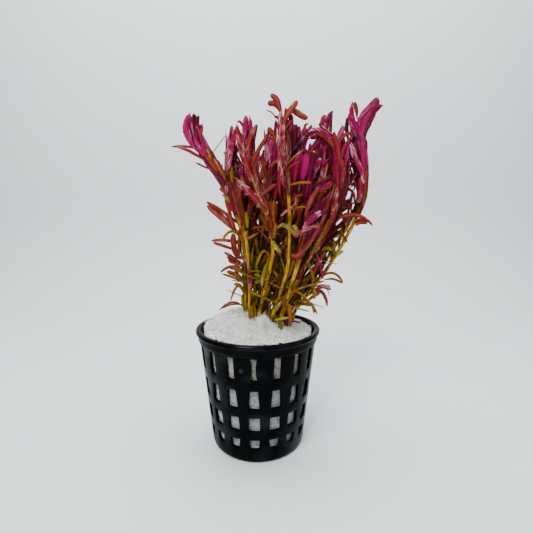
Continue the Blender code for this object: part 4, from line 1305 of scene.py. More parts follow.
# At each tip of a crown two more leaves cling to the one that ends there: how far round
# the axis each is turned, and how much shorter it is. The star at the top of shoot 07
# has single leaves, which are placed one by one below.
TIP_LEAVES = ((0.0, 0.0), (0.7, 0.2), (-0.8, 0.3))
STAR_SHOOT = "07"
TIP_WIDTHS = (1.5, 2.2)
TIP_OVERLAPS = (8, 14)   # in mm, how far below the crown's end they start
# A crown's side leaves: how near, at most, a blade's tip is to the crown's own tip that
# it already has a leaf for, how many mm lower its colour is read, and how much less its
# sheen is.
TIP_TAKEN = 0.3 * MM
SIDE_LEAF_LAG = 6
SIDE_LEAF_SHEEN = 0.7
# The pieces: each takes the crowns of five neighbouring shoots.
CROWN_GROUPS = {
    "crown_leaves_left": ("01", "02", "03", "04", "18"),
    "crown_leaves_middle": ("05", "06", "07", "08", "19"),
    "crown_leaves_inner": ("09", "15", "16", "17", "20"),
    "crown_leaves_right": ("10", "11", "12", "13", "14"),
}
# Side leaves that cling, wet, to their crowns, by the place of their tips in mm.
CLUNG = (
    (46.5, -5.9, 123.0), (42.5, -9.3, 110.6), (-21.1, -4.3, 104.5),
    (-21.0, 4.2, 107.8), (-14.3, 3.3, 121.4), (-16.1, -11.6, 102.4),
)
CLUNG_NEAR = 2 * MM      # how near a tip is to such a place
CLUNG_BEND = 0.5         # how far towards the axis its middle is drawn
CLUNG_TIP = 0.75         # and its tip


def clinging_leaf(shoot, route, azimuth, start, end, layer, tip=None, flare=0.0):
    """Midrib and facings of a leaf that lies on its crown from start to end, or on to a tip beyond."""
    points, facings = [], []
    beyond = (tip - route.at(route.length)).length if tip is not None else 0.0
    for share in STATION_SHARES:
        distance = start + (end - start) * share
        inside = min(distance, route.length)
        half_width, half_depth = half_sizes(shoot, route, inside)
        across, back = route.sides(inside)
        rising = min(1.0, share / LEAF_RISE)
        reach = LEAF_FOOT + (layer - LEAF_FOOT) * math.sin(rising * math.pi / 2)
        reach += flare * max(0.0, share - FLARE_START) ** 2
        offset = across * (math.cos(azimuth) * half_width) + back * (math.sin(azimuth) * half_depth)
        point = route.at(inside) + offset * reach
        if distance > route.length and tip is not None:
            point = point.lerp(tip, min(1.0, (distance - route.length) / beyond))
        points.append(point)
        facings.append((across * math.cos(azimuth) + back * math.sin(azimuth)).normalized())
    return points, facings


crown_beds = {}
for group, names in CROWN_GROUPS.items():
    bed = LeafBed()
    for name in names:
        crown_beds[name] = bed
        shoot, route = SHOOTS[name], routes[name]
        draw = random.Random(int(name) * 7)
        end = route.at(route.length)
        across, back = route.sides(route.length)
        tips = [Vector(tip) * MM for tip in shoot.tips]
        turns = [math.atan2((tip - end).dot(back), (tip - end).dot(across)) for tip in tips]
        azimuth = draw.uniform(0, math.tau)
        upper = [node + UPPER_PAIR for node in nodes_of[name] if node > route.stem_length - UPPER_START]
        for start in sorted(nodes_of[name] + upper):
            if start < route.stem_length - CROWN_START:
                continue
            azimuth += math.pi / 2 + draw.uniform(-0.5, 0.5)
            for turn in (azimuth, azimuth + math.pi):
                stop = start + draw.uniform(*LEAF_LENGTHS)
                stop = min(stop, route.length - draw.uniform(0.2, 3.0) * MM)
                if stop - start < SHORTEST_LEAF:
                    continue
                layer, flare = draw.uniform(0.62, 1.0), draw.uniform(-0.5, 1.2)
                points, facings = clinging_leaf(shoot, route, turn, start, stop, layer, flare=flare)
                ripe = ripeness_at(name, (route.at(start).z + route.at(stop).z) / 2 / MM)
                ripe += draw.gauss(0, 0.05)
                width, pale = draw.uniform(*CROWN_WIDTHS) * MM, shoot.sheen * draw.uniform(0.3, 1.1)
                cup, twist = draw.uniform(-0.7, -0.1), draw.uniform(-0.7, 0.7)
                shade = draw.uniform(0.1, 0.8) ** 1.5
                bed.add(points, facings, width, (ripe - 0.05, ripe + 0.02), pale, cup, twist, shade)
        tip_leaves = () if name == STAR_SHOOT else TIP_LEAVES
        for tip, turn in zip(tips, turns):
            beyond = (tip - end).length
            for swing, short in tip_leaves:
                start = route.length - draw.uniform(*TIP_OVERLAPS) * MM
                stop = route.length + beyond * (1 - short)
                layer = draw.uniform(0.55, 0.95)
                points, facings = clinging_leaf(shoot, route, turn + swing, start, stop, layer, tip)
                ripe = shoot.blush + draw.gauss(0, 0.05)
                width, pale = draw.uniform(*TIP_WIDTHS) * MM, shoot.sheen * draw.uniform(0.3, 1.0)
                twist = draw.uniform(-0.3, 0.3)
                bed.add(points, facings, width, (ripe - 0.04, ripe + 0.02), pale, -0.4, twist)
        for root, control, tip, facing in crown_sides[name]:
            if min((tip - other).length for other in tips) < TIP_TAKEN:
                continue
            if any((Vector(place) * MM - tip).length < CLUNG_NEAR for place in CLUNG):
                axis = route.at(route.distance_at_height(tip.z))
                control, tip = control.lerp(axis, CLUNG_BEND), tip.lerp(axis, CLUNG_TIP)
            points = [bezier(root, control, tip, t) for t in STATION_SHARES]
            ripe = ripeness_at(name, tip.z / MM - SIDE_LEAF_LAG) - 0.04
            sheen = shoot.sheen * SIDE_LEAF_SHEEN
            add_side_leaf(bed, points, facing, CROWN_SIDE_LEAF_WIDTH, ripe, sheen)
    crown_beds[group] = bed

# The leaves that lie uppermost towards the front, each with the shoot it lies on:
# where it runs from root to tip (across and up, in mm, as seen in the plane through
# the front of the bunch), how far it stands before its shoot, its width, how ripe
# it is and how pale its painted wet sheen. Rows ripe near 1 are dark purple to near
# black: partly their own deep colour, partly painted shade among the leaves.
SEEN_PLANE = -8.0
FRONT_LEAVES = (
    ("01", ((-20.5, 116), (-24.5, 120.5), (-26.3, 125), (-25.2, 130)), 0.6, 2.8, 0.87, 0.3),
    ("01", ((-19.8, 115), (-22.3, 120), (-24, 124), (-24.3, 127.5)), 1.0, 2.2, 0.89, 0.5),
    ("01", ((-19, 115), (-20.3, 119), (-21.3, 123), (-22, 126)), 0.8, 2.2, 0.84, 0.3),
    ("01", ((-21.5, 122), (-22.4, 126), (-23.2, 130.2)), 0.5, 2.2, 0.96, 0.1),
    ("01", ((-21.2, 123), (-21.8, 127), (-21.3, 129.5)), 0.7, 1.4, 0.93, 0.1),
    ("01", ((-19.8, 118), (-20.8, 122), (-20.1, 126.3)), 0.6, 1.4, 0.62, 0.1),
    ("01", ((-21, 117), (-24.5, 120.5), (-27.4, 123.9)), 0.3, 0.7, 0.95, 0.0),
    ("01", ((-17.2, 114), (-18, 116.5), (-18.8, 117.5)), 0.5, 1.1, 0.25, 0.1),
    ("01", ((-11.8, 104), (-14.5, 109), (-17.5, 113), (-19.8, 115.5)), 0.5, 2.0, 0.52, 0.1),
    ("01", ((-11.9, 106.5), (-13.8, 110), (-16, 114.2)), 0.4, 1.0, 0.32, 0.5),
    ("01", ((-11.3, 102.5), (-13, 106), (-15.2, 109.8)), 0.9, 1.7, 0.94, 0.1),
    ("01", ((-7.8, 94.5), (-9.5, 99.5), (-11.8, 104.5)), 0.9, 2.5, 0.66, 0.4),
    ("01", ((-8.5, 94), (-10.5, 98), (-11.5, 102)), 0.4, 1.8, 0.72, 0.2),
    ("01", ((-3.5, 80.5), (-4.3, 85.5), (-5.3, 90.8)), 1.0, 1.6, 0.68, 0.7),
    ("01", ((-6.9, 77), (-6.8, 83), (-6.3, 88.5)), 0.8, 1.4, 0.50, 0.1),
    ("01", ((-1, 71.3), (-2.6, 73.7), (-5.2, 76.6), (-8.1, 77.9)), 1.5, 1.3, 0.62, 0.6),
    ("01", ((-7.4, 68.6), (-8.4, 69.5), (-8.7, 72.5)), 0.8, 0.8, 0.2, 0.1),
    ("01", ((-9, 88), (-12.5, 91.5), (-16, 94.5), (-19, 97)), 0.3, 2.6, 0.56, 0.3),
    ("01", ((-8.2, 86.5), (-9.6, 90), (-11.2, 94.5)), 0.5, 2.4, 0.58, 0.2),
    ("01", ((-8.3, 78), (-9, 82), (-9.2, 86.5)), 0.4, 2.4, 0.50, 0.3),
    ("01", ((-7, 77), (-8.4, 80), (-9.4, 83.5)), 0.6, 1.6, 0.62, 0.5),
    ("01", ((-5.5, 74.5), (-8.5, 76.2), (-11.5, 78)), 0.4, 2.4, 0.60, 0.7),
    ("01", ((-5.4, 76.5), (-8, 78), (-9.5, 80.8)), 0.2, 1.6, 0.45, 0.1),
    ("01", ((-5.2, 71), (-7.5, 72.8), (-11, 73.6)), 0.3, 2.0, 0.50, 0.3),
    ("01", ((-5.5, 67.5), (-7.4, 69.5), (-8.6, 72)), 0.3, 2.2, 0.45, 0.2),
    ("01", ((-5.3, 64.5), (-7, 66.5), (-9.2, 66.8)), 0.3, 1.4, 0.30, 0.1),
    ("01", ((-5.2, 58.5), (-8.5, 59), (-11.5, 58.4), (-13.8, 57.2)), 0.3, 0.9, 0.50, 0.2),
    ("01", ((-5.4, 57), (-5.9, 60), (-5.8, 63)), 0.5, 1.2, 0.20, 0.0),
    ("01", ((-22.6, 118), (-23.8, 122), (-25, 127)), 1.1, 0.8, 0.99, 0.0),
    ("01", ((-20.6, 118.5), (-21.6, 122), (-22.4, 125)), 1.1, 0.7, 0.98, 0.0),
    ("01", ((-19.5, 113.6), (-23, 115.8), (-26.5, 117.6), (-30, 118.6)), 0.4, 1.4, 0.66, 0.4),
    ("01", ((-9.8, 93), (-11, 96), (-12, 99.5)), 0.3, 1.6, 0.62, 0.2),
    ("01", ((-5.2, 73.5), (-8, 74.8), (-11.2, 76)), 0.5, 1.8, 0.55, 0.5),
    ("01", ((-5.4, 69), (-8.6, 70.8), (-11.8, 72)), 0.3, 1.8, 0.52, 0.2),
    ("01", ((-8.8, 80.2), (-12.5, 81.6), (-17, 83)), 0.2, 1.4, 0.60, 0.3),
    ("02", ((-11.3, 109.5), (-11, 113), (-11.8, 116.7)), 0.5, 1.2, 0.68, 0.5),
    ("02", ((-10.4, 112.5), (-10.1, 117), (-10.9, 121.2)), 0.5, 1.1, 0.72, 0.7),
    ("02", ((-10, 114), (-9.8, 118.5), (-10.4, 122.6)), 0.3, 1.0, 0.76, 1.0),
    ("02", ((-9.6, 115), (-9, 120), (-8.6, 124.9)), 0.6, 1.3, 0.80, 1.0),
    ("02", ((-9.2, 115), (-8.2, 120.5), (-7.8, 125.5)), 0.2, 1.2, 0.74, 1.0),
    ("02", ((-10.6, 110), (-9.7, 115.5), (-9.2, 121)), 0.9, 2.0, 0.76, 1.0),
    ("02", ((-9.2, 109), (-8.2, 114.5), (-7, 120.3)), 0.2, 1.5, 0.98, 0.1),
    ("02", ((-11.4, 105), (-11.2, 108), (-10.4, 112)), 0.5, 2.0, 0.38, 0.1),
    ("02", ((-9.7, 102), (-9.4, 107), (-9.4, 111.5)), 0.5, 1.7, 0.16, 0.0),
    ("03", ((-4.8, 121), (-4.4, 125), (-4, 129.5)), 0.8, 2.5, 0.88, 0.4),
    ("03", ((-3.2, 120.5), (-2.3, 124.5), (-2.4, 128.4)), 0.5, 1.7, 0.82, 0.9),
    ("03", ((-5.2, 125.5), (-6, 127.2), (-7.3, 127.3)), 0.8, 1.1, 0.62, 0.0),
    ("03", ((-3.5, 118.5), (-3.3, 121.5), (-3.1, 124.8)), 1.0, 1.2, 0.97, 0.0),
    ("03", ((-0.5, 111), (-1.2, 115), (-2.1, 119.3)), 0.6, 1.5, 0.86, 0.4),
    ("03", ((-0.8, 116), (-0.9, 118.5), (-1, 121.3)), 0.3, 0.8, 0.99, 0.0),
    ("03", ((-5, 96), (-3.2, 101), (-2.5, 107)), -1.0, 2.2, 0.97, 0.0),
    ("03", ((0, 92), (1.2, 98), (1, 104)), -1.0, 2.4, 0.97, 0.0),
    ("03", ((3, 95), (4.5, 101), (5, 108)), -1.0, 2.4, 0.95, 0.0),
    ("03", ((2.5, 82), (3, 88), (2.2, 94)), -1.0, 2.4, 0.20, 0.0),
    ("03", ((-5, 103.8), (-4.8, 106.5), (-4.7, 109.4)), 3.0, 2.0, 0.86, 0.2),
    ("03", ((0.2, 107), (0.4, 112), (0.9, 118.5)), 0.0, 2.2, 0.50, 0.1),
    ("03", ((-0.6, 89), (-0.8, 94), (-0.6, 100)), 0.5, 1.8, 0.60, 0.1),
    ("03", ((1.2, 90.5), (0.4, 93), (-0.4, 96)), 0.5, 1.4, 0.30, 0.1),
    ("03", ((1.4, 104.5), (1.8, 109), (2.4, 115)), 0.0, 1.6, 0.46, 0.1),
    ("03", ((0.2, 76), (0.4, 82), (0.8, 89)), 0.0, 1.6, 0.30, 0.0),
    ("03", ((3.6, 92), (4, 97), (3.2, 102)), 1.0, 1.7, 0.54, 0.3),
    ("03", ((-2.8, 84), (-2.2, 89), (-2.6, 95)), 1.0, 2.0, 0.36, 0.1),
    ("03", ((1.8, 84), (1.4, 89), (1.8, 95)), -1.0, 2.0, 0.28, 0.0),
    ("04", ((-3.5, 102.5), (-6, 105.5), (-9, 107.6)), 0.8, 0.9, 0.62, 0.0),
    ("04", ((-4.4, 111.9), (-5.8, 112), (-7.3, 111)), 0.5, 0.5, 0.55, 0.0),
    ("04", ((-2.6, 65), (-2.6, 69), (-2.9, 73.5)), 1.0, 2.1, 0.76, 0.6),
    ("04", ((1.8, 71.6), (-1, 71.9), (-3.5, 71.3)), 1.8, 0.8, 0.33, 0.2),
    ("04", ((1.2, 70.2), (0, 69.8), (-1.1, 70.5)), 1.5, 1.2, 0.02, 0.2),
    ("04", ((-3.6, 88.5), (-3.8, 91), (-4.2, 94.5)), 0.8, 1.5, 0.12, 0.0),
    ("04", ((-1.5, 53.5), (-2.1, 55.5), (-2.3, 58.2)), 0.6, 1.5, 0.25, 0.1),
    ("05", ((-1.8, 106), (-3.6, 111.5), (-5.2, 117), (-6.7, 121.5), (-7.5, 125.8)), 0.8, 2.0, 0.66, 0.5),
    ("05", ((-2.3, 106), (-4.4, 111.5), (-5.9, 115.5), (-7, 119.5)), 0.5, 1.6, 0.67, 0.6),
    ("05", ((-2.8, 111), (-4.2, 116), (-5.8, 121)), 0.9, 0.8, 0.66, 1.0),
    ("05", ((-2.9, 112), (-3.1, 117), (-2.4, 121.5), (0, 126.4)), 0.6, 1.9, 0.66, 0.4),
    ("05", ((0, 101), (-1.3, 106), (-2.8, 110.5)), 0.8, 1.7, 0.64, 0.6),
    ("05", ((1.5, 99), (0.2, 103.5), (-1.8, 108.5)), 1.0, 0.8, 0.40, 0.7),
    ("05", ((0.6, 100), (-0.2, 106), (-1.2, 112), (-1.5, 115)), 0.4, 1.7, 0.64, 0.4),
    ("05", ((-1.9, 111.5), (-0.6, 115), (1.4, 118.6), (3.2, 121.2), (4.5, 123.9)), 1.0, 1.5, 0.55, 0.1),
    ("05", ((-2.2, 101), (-4.3, 104.5), (-6, 108)), 0.5, 1.5, 0.48, 0.0),
    ("05", ((9.2, 78.8), (7.6, 81), (5.9, 83.6)), 1.5, 1.9, 0.03, 0.6),
    ("05", ((3.7, 88.5), (1, 88.9), (-2.1, 88.2)), 1.0, 0.8, 0.46, 0.0),
    ("05", ((1.8, 66), (2.3, 70), (3.9, 75)), 1.2, 1.7, 0.10, 0.5),
    ("05", ((3.8, 93.5), (1.5, 97), (-2, 100.8), (-5.8, 104.2)), 1.6, 2.9, 0.66, 1.0),
    ("05", ((1.8, 97.5), (-0.4, 103), (-2.6, 109)), 1.5, 0.7, 0.30, 0.6),
    ("06", ((3.3, 112), (3.6, 117), (4.2, 121), (5, 124.3)), 1.0, 2.0, 0.80, 1.0),
    ("06", ((4.6, 112), (4.9, 116.5), (5.1, 121)), 0.6, 1.6, 0.86, 0.8),
    ("06", ((3.8, 104.5), (3.2, 109), (2.6, 113.5)), 0.6, 1.3, 0.52, 0.1),
    ("06", ((4, 101), (2.8, 106.5), (1.6, 111)), 1.0, 0.9, 0.36, 0.6),
    ("06", ((1.7, 110.5), (1.1, 112.5), (0.3, 114.7)), 0.8, 1.2, 0.76, 0.8),
    ("06", ((6.2, 112), (6.6, 118), (6.9, 124), (7, 128)), 0.5, 1.5, 0.92, 0.2),
    ("06", ((2, 57), (3, 61), (3.4, 64)), 3.0, 1.1, 0.15, 0.0),
    ("06", ((7.4, 103), (7.7, 106.5), (8, 112)), -0.5, 1.6, 0.90, 0.1),
    ("06", ((6.4, 89), (6.9, 93), (7.2, 98)), -0.5, 1.8, 0.45, 0.1),
    ("06", ((7, 113), (7.4, 116), (7.2, 119)), -0.5, 1.8, 0.94, 0.1),
    ("06", ((6.6, 99), (6.9, 101.5), (7.2, 104)), -0.5, 1.8, 0.70, 0.1),
    ("07", ((9, 130.3), (8, 132.8), (7.2, 135.2), (5, 137)), 0.2, 2.2, 0.60, 0.2),
    ("07", ((8.8, 131), (7.8, 132.8), (6, 133.9), (3.9, 133.6)), 0.2, 2.0, 0.60, 0.2),
    ("07", ((7, 128.5), (5.6, 130.5), (3.4, 131.4)), 0.3, 0.5, 0.60, 0.0),
    ("07", ((8, 128), (7.3, 129), (6.4, 128.8)), 0.5, 0.9, 0.60, 0.0),
    ("07", ((9.6, 127), (11, 129.5), (12.9, 132.2), (14.8, 134.8)), 0.8, 2.4, 0.52, 0.2),
    ("07", ((11.5, 131), (13.5, 131.4), (16, 130.1), (18.9, 128.5)), 0.4, 2.3, 0.58, 0.2),
    ("07", ((10.3, 124.5), (11.5, 126.2), (13.1, 128)), 0.5, 1.2, 0.56, 0.0),
    ("07", ((11, 124.5), (12.2, 127), (12.3, 130)), 0.2, 1.3, 0.97, 0.0),
    ("07", ((10, 127), (10.5, 129.5), (10.8, 132.2)), 0.2, 1.2, 0.70, 0.3),
    ("07", ((8.9, 115), (8.3, 121), (8.5, 126), (9, 131)), 0.9, 2.0, 0.72, 0.8),
    ("07", ((10.4, 113), (10, 120), (9.9, 128)), 0.8, 1.4, 0.65, 0.6),
    ("07", ((9.7, 106.5), (9.1, 112), (8.8, 118)), 1.1, 2.0, 0.70, 1.0),
    ("07", ((11.2, 109), (10.6, 113.5), (10, 118.5)), 0.8, 1.2, 0.60, 0.3),
    ("07", ((10.2, 103.5), (9.6, 107), (9.2, 110)), 1.0, 2.0, 0.66, 0.3),
    ("07", ((8.6, 115.5), (7.6, 119.5), (6.2, 122.5), (4.5, 125.5)), 0.4, 1.5, 0.46, 0.1),
    ("07", ((8, 120), (7.9, 122.5), (7.8, 125)), 0.9, 0.6, 0.30, 0.4),
    ("07", ((9.4, 114.5), (7, 112.8), (4.4, 111)), 0.6, 1.5, 0.58, 0.1),
    ("07", ((11.2, 112), (14.2, 115), (17.4, 117.4)), 0.5, 0.9, 0.44, 0.3),
    ("07", ((11, 109.5), (13, 111.6), (16.4, 113.3)), 0.4, 0.7, 0.50, 0.0),
    ("07", ((2, 100.8), (4.5, 103), (7.4, 104.9)), 1.2, 1.3, 0.60, 0.3),
    ("07", ((13, 95.2), (16, 96.3), (20.5, 96.2)), 1.2, 0.8, 0.32, 0.1),
    ("07", ((10.7, 61.2), (8.6, 58.6), (7, 56)), 2.0, 1.2, 0.08, 1.0),
    ("07", ((6.3, 60), (10, 61.6), (14, 63.9), (19.2, 66)), 1.2, 0.8, 0.35, 0.3),
    ("07", ((14.6, 53.9), (10.5, 53.2), (6.6, 52.5)), 1.0, 1.1, 0.02, 0.3),
    ("07", ((8.8, 52.5), (8.8, 50.5), (8.6, 48.3)), 0.5, 1.8, 0.14, 0.0),
    ("07", ((12.2, 124), (12.9, 127), (12.7, 130)), 0.2, 1.4, 0.90, 0.1),
    ("07", ((9.6, 104.5), (9, 110), (8.5, 116), (8.3, 121.5)), 1.8, 2.2, 0.71, 0.5),
    ("07", ((14.7, 99.7), (14.1, 96.9), (11.5, 95.2), (8.8, 92.9)), 1.5, 1.3, 0.60, 0.5),
    ("07", ((7.7, 88.5), (10.2, 89.5), (13.5, 87.1), (15.5, 84.8)), 1.6, 1.7, 0.15, 0.4),
    ("07", ((8.6, 101), (8.3, 105), (8, 109)), -1.0, 1.6, 0.66, 0.0),
    ("07", ((6.4, 90.5), (6.1, 94.8), (6.4, 99)), -1.0, 1.5, 0.40, 0.0),
    ("07", ((6.2, 84.5), (6.9, 87.6), (7, 90.5)), -1.0, 1.5, 0.34, 0.0),
    ("08", ((12.3, 115), (13.6, 120), (14.4, 126.6)), 0.8, 2.4, 0.935, 0.1),
    ("08", ((10.7, 114.5), (11.2, 120), (11.6, 126)), 0.9, 2.2, 0.96, 0.0),
    ("08", ((8.5, 90), (8.6, 97), (8, 104)), -1.0, 2.4, 0.97, 0.0),
    ("08", ((7, 104), (6.7, 110), (7.5, 116)), -1.0, 2.4, 0.96, 0.0),
    ("08", ((9, 116), (9.3, 121), (9.6, 127)), 0.0, 2.4, 0.96, 0.0),
    ("08", ((13.5, 92), (14.8, 97), (15, 102.5)), 1.0, 1.2, 0.60, 0.7),
    ("08", ((10, 93.5), (12.5, 95.5), (14.5, 98)), 1.0, 1.4, 0.63, 0.5),
    ("08", ((11.8, 112), (12.6, 118), (13, 125)), 1.1, 1.8, 0.955, 0.0),
    ("08", ((10.2, 117), (10.3, 121), (10.7, 125)), 1.0, 1.6, 0.975, 0.0),
    ("09", ((14.8, 118), (15.8, 121.5), (15.9, 125.7)), 0.3, 1.2, 0.60, 0.2),
    ("09", ((15.4, 118.5), (16.4, 121.5), (17.1, 125.1)), 0.2, 1.2, 0.86, 0.5),
    ("09", ((17.4, 123.5), (17.7, 126), (19.1, 126.6)), 0.4, 0.9, 0.35, 0.2),
    ("09", ((22, 114.5), (22.6, 118), (22.8, 122)), 0.0, 2.4, 0.93, 0.1),
    ("09", ((17.5, 122), (19.4, 124.8), (20.4, 126.2)), 0.0, 1.4, 0.62, 0.1),
    ("09", ((19, 122), (21, 123.8), (23, 124.8)), -0.5, 1.6, 0.90, 0.1),
    ("10", ((29.3, 117.5), (27.6, 121), (25.4, 123.2), (22.8, 124.6), (20, 124.9)), 0.6, 1.3, 0.82, 0.9),
    ("10", ((29.9, 113.5), (28.3, 118), (24.8, 121.6), (21.3, 123.5)), 1.0, 1.8, 0.61, 0.1),
    ("10", ((20.8, 124.2), (18.3, 122.3), (15.8, 119.6), (13.8, 117)), 0.5, 1.2, 0.97, 0.7),
    ("10", ((20, 124.5), (17.8, 124.2), (16, 123)), 0.4, 1.2, 0.90, 0.4),
    ("10", ((30.2, 109.5), (29.9, 114.5), (28.6, 118.3), (26.3, 121.3)), 1.3, 0.8, 0.35, 0.5),
    ("10", ((29, 108.5), (28.2, 113.5), (26.2, 118.5), (23.5, 121.8)), 0.4, 2.4, 0.93, 0.1),
    ("10", ((30, 104), (30.3, 108), (29.7, 112)), 0.9, 2.0, 0.64, 0.4),
    ("10", ((29.3, 94), (30.3, 99), (30.7, 104.5)), 1.1, 2.3, 0.66, 0.6),
    ("10", ((27.8, 89.5), (28.9, 94), (29.9, 98.5)), 0.9, 2.2, 0.60, 0.4),
    ("10", ((31, 103.5), (30.9, 106), (30.8, 108.5)), 1.2, 0.7, 0.40, 0.7),
    ("10", ((20.5, 117), (22, 119.5), (23.8, 121.5)), -0.5, 3.0, 0.94, 0.1),
    ("11", ((25.2, 121), (25.4, 125.5), (26.4, 129), (27.9, 131)), 0.9, 1.9, 0.89, 0.5),
    ("11", ((26.9, 121.5), (27.1, 125.5), (27.1, 129.8)), 0.7, 1.1, 0.78, 0.1),
    ("11", ((26, 121.5), (26.2, 125), (26.6, 128.5)), 1.1, 1.3, 0.92, 0.2),
    ("11", ((23.5, 123), (23.7, 126.5), (24.2, 129.4)), 0.6, 1.3, 0.48, 0.4),
    ("11", ((27, 128.5), (27.2, 130), (28.1, 131)), 0.9, 0.7, 0.98, 0.0),
    ("11", ((24.5, 100), (25.5, 107), (26, 115)), -3.0, 2.6, 0.96, 0.1),
    ("11", ((27, 101), (27.6, 107), (28, 113)), -3.0, 2.4, 0.97, 0.1),
    ("11", ((23, 96), (25, 101), (27.5, 106)), -2.0, 2.2, 0.94, 0.1),
    ("11", ((24.9, 126), (24.8, 128), (24.8, 129.8)), 0.6, 1.8, 0.85, 0.4),
    ("12", ((29.2, 117.5), (28.9, 121), (28.4, 123.8)), 0.5, 1.5, 0.62, 0.1),
    ("12", ((29.9, 119.5), (30.8, 123), (32.1, 125.9)), 0.7, 2.0, 0.85, 0.4),
    ("12", ((29.8, 118.5), (31, 121), (33, 122.8), (35.7, 123.4)), 1.0, 1.3, 0.58, 0.1),
    ("12", ((31, 111.5), (30.3, 116.5), (29.9, 121.5)), 0.8, 2.3, 0.66, 0.2),
    ("12", ((31.2, 113), (31.9, 117), (33.6, 120.8)), 0.5, 1.4, 0.70, 0.1),
    ("12", ((33, 111.5), (33.5, 115), (33.5, 119.7)), 0.3, 1.3, 0.87, 0.3),
    ("12", ((31.3, 104.5), (32.3, 109), (31.5, 114)), 0.9, 2.2, 0.52, 0.1),
    ("12", ((27.9, 99), (28.6, 102), (29.7, 105)), 1.0, 0.8, 0.34, 0.4),
    ("12", ((9, 51.8), (13, 52.2), (17.2, 51.4)), 1.0, 0.8, 0.85, 0.0),
    ("12", ((24.8, 80.2), (27, 80.8), (28.9, 79.9)), 1.5, 1.6, 0.14, 0.0),
    ("12", ((22.6, 66), (25.5, 66.1), (28.4, 65.8)), 1.2, 1.4, 0.62, 1.0),
    ("12", ((25.8, 65.7), (27.3, 64.5), (28.1, 62.3)), 1.0, 0.4, 0.60, 0.0),
    ("12", ((22.7, 78.7), (24.4, 74.2), (25.4, 68.7)), 1.8, 1.2, 0.76, 0.4),
    ("12", ((19.5, 60.5), (21.6, 58), (22.3, 55.1)), 1.0, 1.0, 0.22, 0.0),
    ("12", ((13.8, 58.2), (17.5, 58.9), (21.2, 58.3)), 0.8, 1.1, 0.36, 0.1),
    ("12", ((21.3, 68.5), (22, 64.5), (22.3, 60.8)), 1.2, 1.4, 0.28, 0.1),
    ("12", ((13.8, 64.8), (17.5, 65.7), (22, 66.8), (26.2, 68.2)), 2.2, 0.9, 0.34, 0.4),
    ("12", ((22.3, 82), (23.3, 86), (24.6, 90.3)), 1.0, 1.3, 0.76, 0.1),
    ("12", ((22.4, 78.8), (24, 81.7), (26.2, 85.2)), 1.2, 1.0, 0.68, 0.7),
    ("12", ((22.6, 65.8), (21.4, 70.5), (20, 74.3), (18.9, 78.2)), 1.5, 1.2, 0.32, 0.2),
    ("12", ((14.5, 65.3), (16, 69.6), (17.7, 73.3)), 1.8, 1.3, 0.42, 0.3),
    ("12", ((24.2, 87.5), (24.8, 91), (25, 94.5)), 0.8, 1.2, 0.18, 0.1),
    ("12", ((22.2, 74), (23.8, 76.2), (26.2, 79.6)), 0.6, 1.8, 0.50, 0.2),
    ("12", ((21.8, 70.8), (22.6, 73.2), (23.8, 75.5)), 0.6, 1.8, 0.66, 0.3),
    ("12", ((17, 66), (17.8, 68), (18.6, 70)), 0.3, 1.4, 0.30, 0.1),
    ("12", ((22.5, 65), (26, 65.6), (28.8, 64.6)), 0.9, 1.2, 0.55, 0.4),
    ("12", ((19.6, 60), (21.5, 61.8), (24.5, 63.5)), 0.6, 1.4, 0.34, 0.1),
    ("12", ((24.5, 74), (27.5, 74.9), (31.5, 74.6)), 0.9, 0.35, 0.30, 0.1),
    ("12", ((17.5, 73.5), (21.4, 79.3), (25.2, 86.5), (27.6, 92)), 2.4, 1.6, 0.33, 0.4),
    ("12", ((26.6, 88), (28.6, 93), (29.7, 98.5), (30.4, 104)), 2.6, 2.0, 0.66, 0.6),
    ("12", ((24.3, 89), (26, 94), (27.2, 99.5)), 1.2, 1.6, 0.50, 0.2),
    ("13", ((37, 128), (36.1, 131.5), (34.7, 134.5)), 0.6, 1.0, 0.40, 0.4),
    ("13", ((35.2, 126.5), (34.8, 129.8), (34.6, 132.8)), 0.5, 1.9, 0.78, 1.0),
    ("13", ((38.2, 120), (36.4, 123.6), (34.5, 127), (33.9, 130.3)), 1.0, 1.8, 0.86, 0.5),
    ("13", ((33.7, 121), (33.1, 125), (33.3, 128.9)), 0.3, 1.6, 0.97, 0.2),
    ("14", ((41.3, 112), (39.9, 117.8), (38.5, 122.5), (36.1, 126.7), (34.1, 129.8)), 1.0, 1.7, 0.86, 0.3),
    ("14", ((40.5, 104.4), (39.4, 108.3), (37.8, 112.1), (36, 115.9), (34.4, 120.2)), 1.4, 2.3, 0.82, 1.0),
    ("13", ((36.4, 105.5), (35.5, 109), (33.7, 112.5)), 0.3, 0.8, 0.99, 0.0),
    ("13", ((36.6, 102.5), (36.8, 107), (35.6, 112.5)), 0.2, 1.2, 0.70, 0.1),
    ("13", ((38.3, 99), (38.4, 103), (37.6, 108)), 0.2, 1.2, 0.66, 0.1),
    ("13", ((36.8, 129), (36.5, 132), (35.8, 134.3)), 0.4, 1.4, 0.55, 0.2),
    ("14", ((37.3, 127), (38.6, 129.8), (41.2, 132.6), (44, 135.8)), 0.7, 1.8, 0.88, 0.3),
    ("14", ((38.8, 121.5), (39.2, 125.5), (41, 129.5), (43.6, 134.5)), 0.9, 2.2, 0.89, 0.2),
    ("14", ((38.3, 123.5), (39.8, 128), (42.2, 132), (44.6, 135.4)), 0.6, 3.2, 0.90, 0.2),
    ("14", ((42.8, 132), (44.3, 133), (45.8, 133)), 0.6, 0.9, 0.62, 0.0),
    ("14", ((40.4, 108), (39.6, 115), (38.6, 122)), 0.6, 1.8, 0.83, 0.2),
    ("14", ((40, 96.5), (40.6, 102), (40.4, 108.5)), 0.5, 1.2, 0.40, 0.3),
    ("14", ((38.4, 98), (38.9, 102.5), (38.8, 107.5)), 1.1, 2.4, 0.70, 0.6),
    ("14", ((31.3, 102.8), (34, 104.5), (37, 105.5)), 0.8, 1.0, 0.60, 0.2),
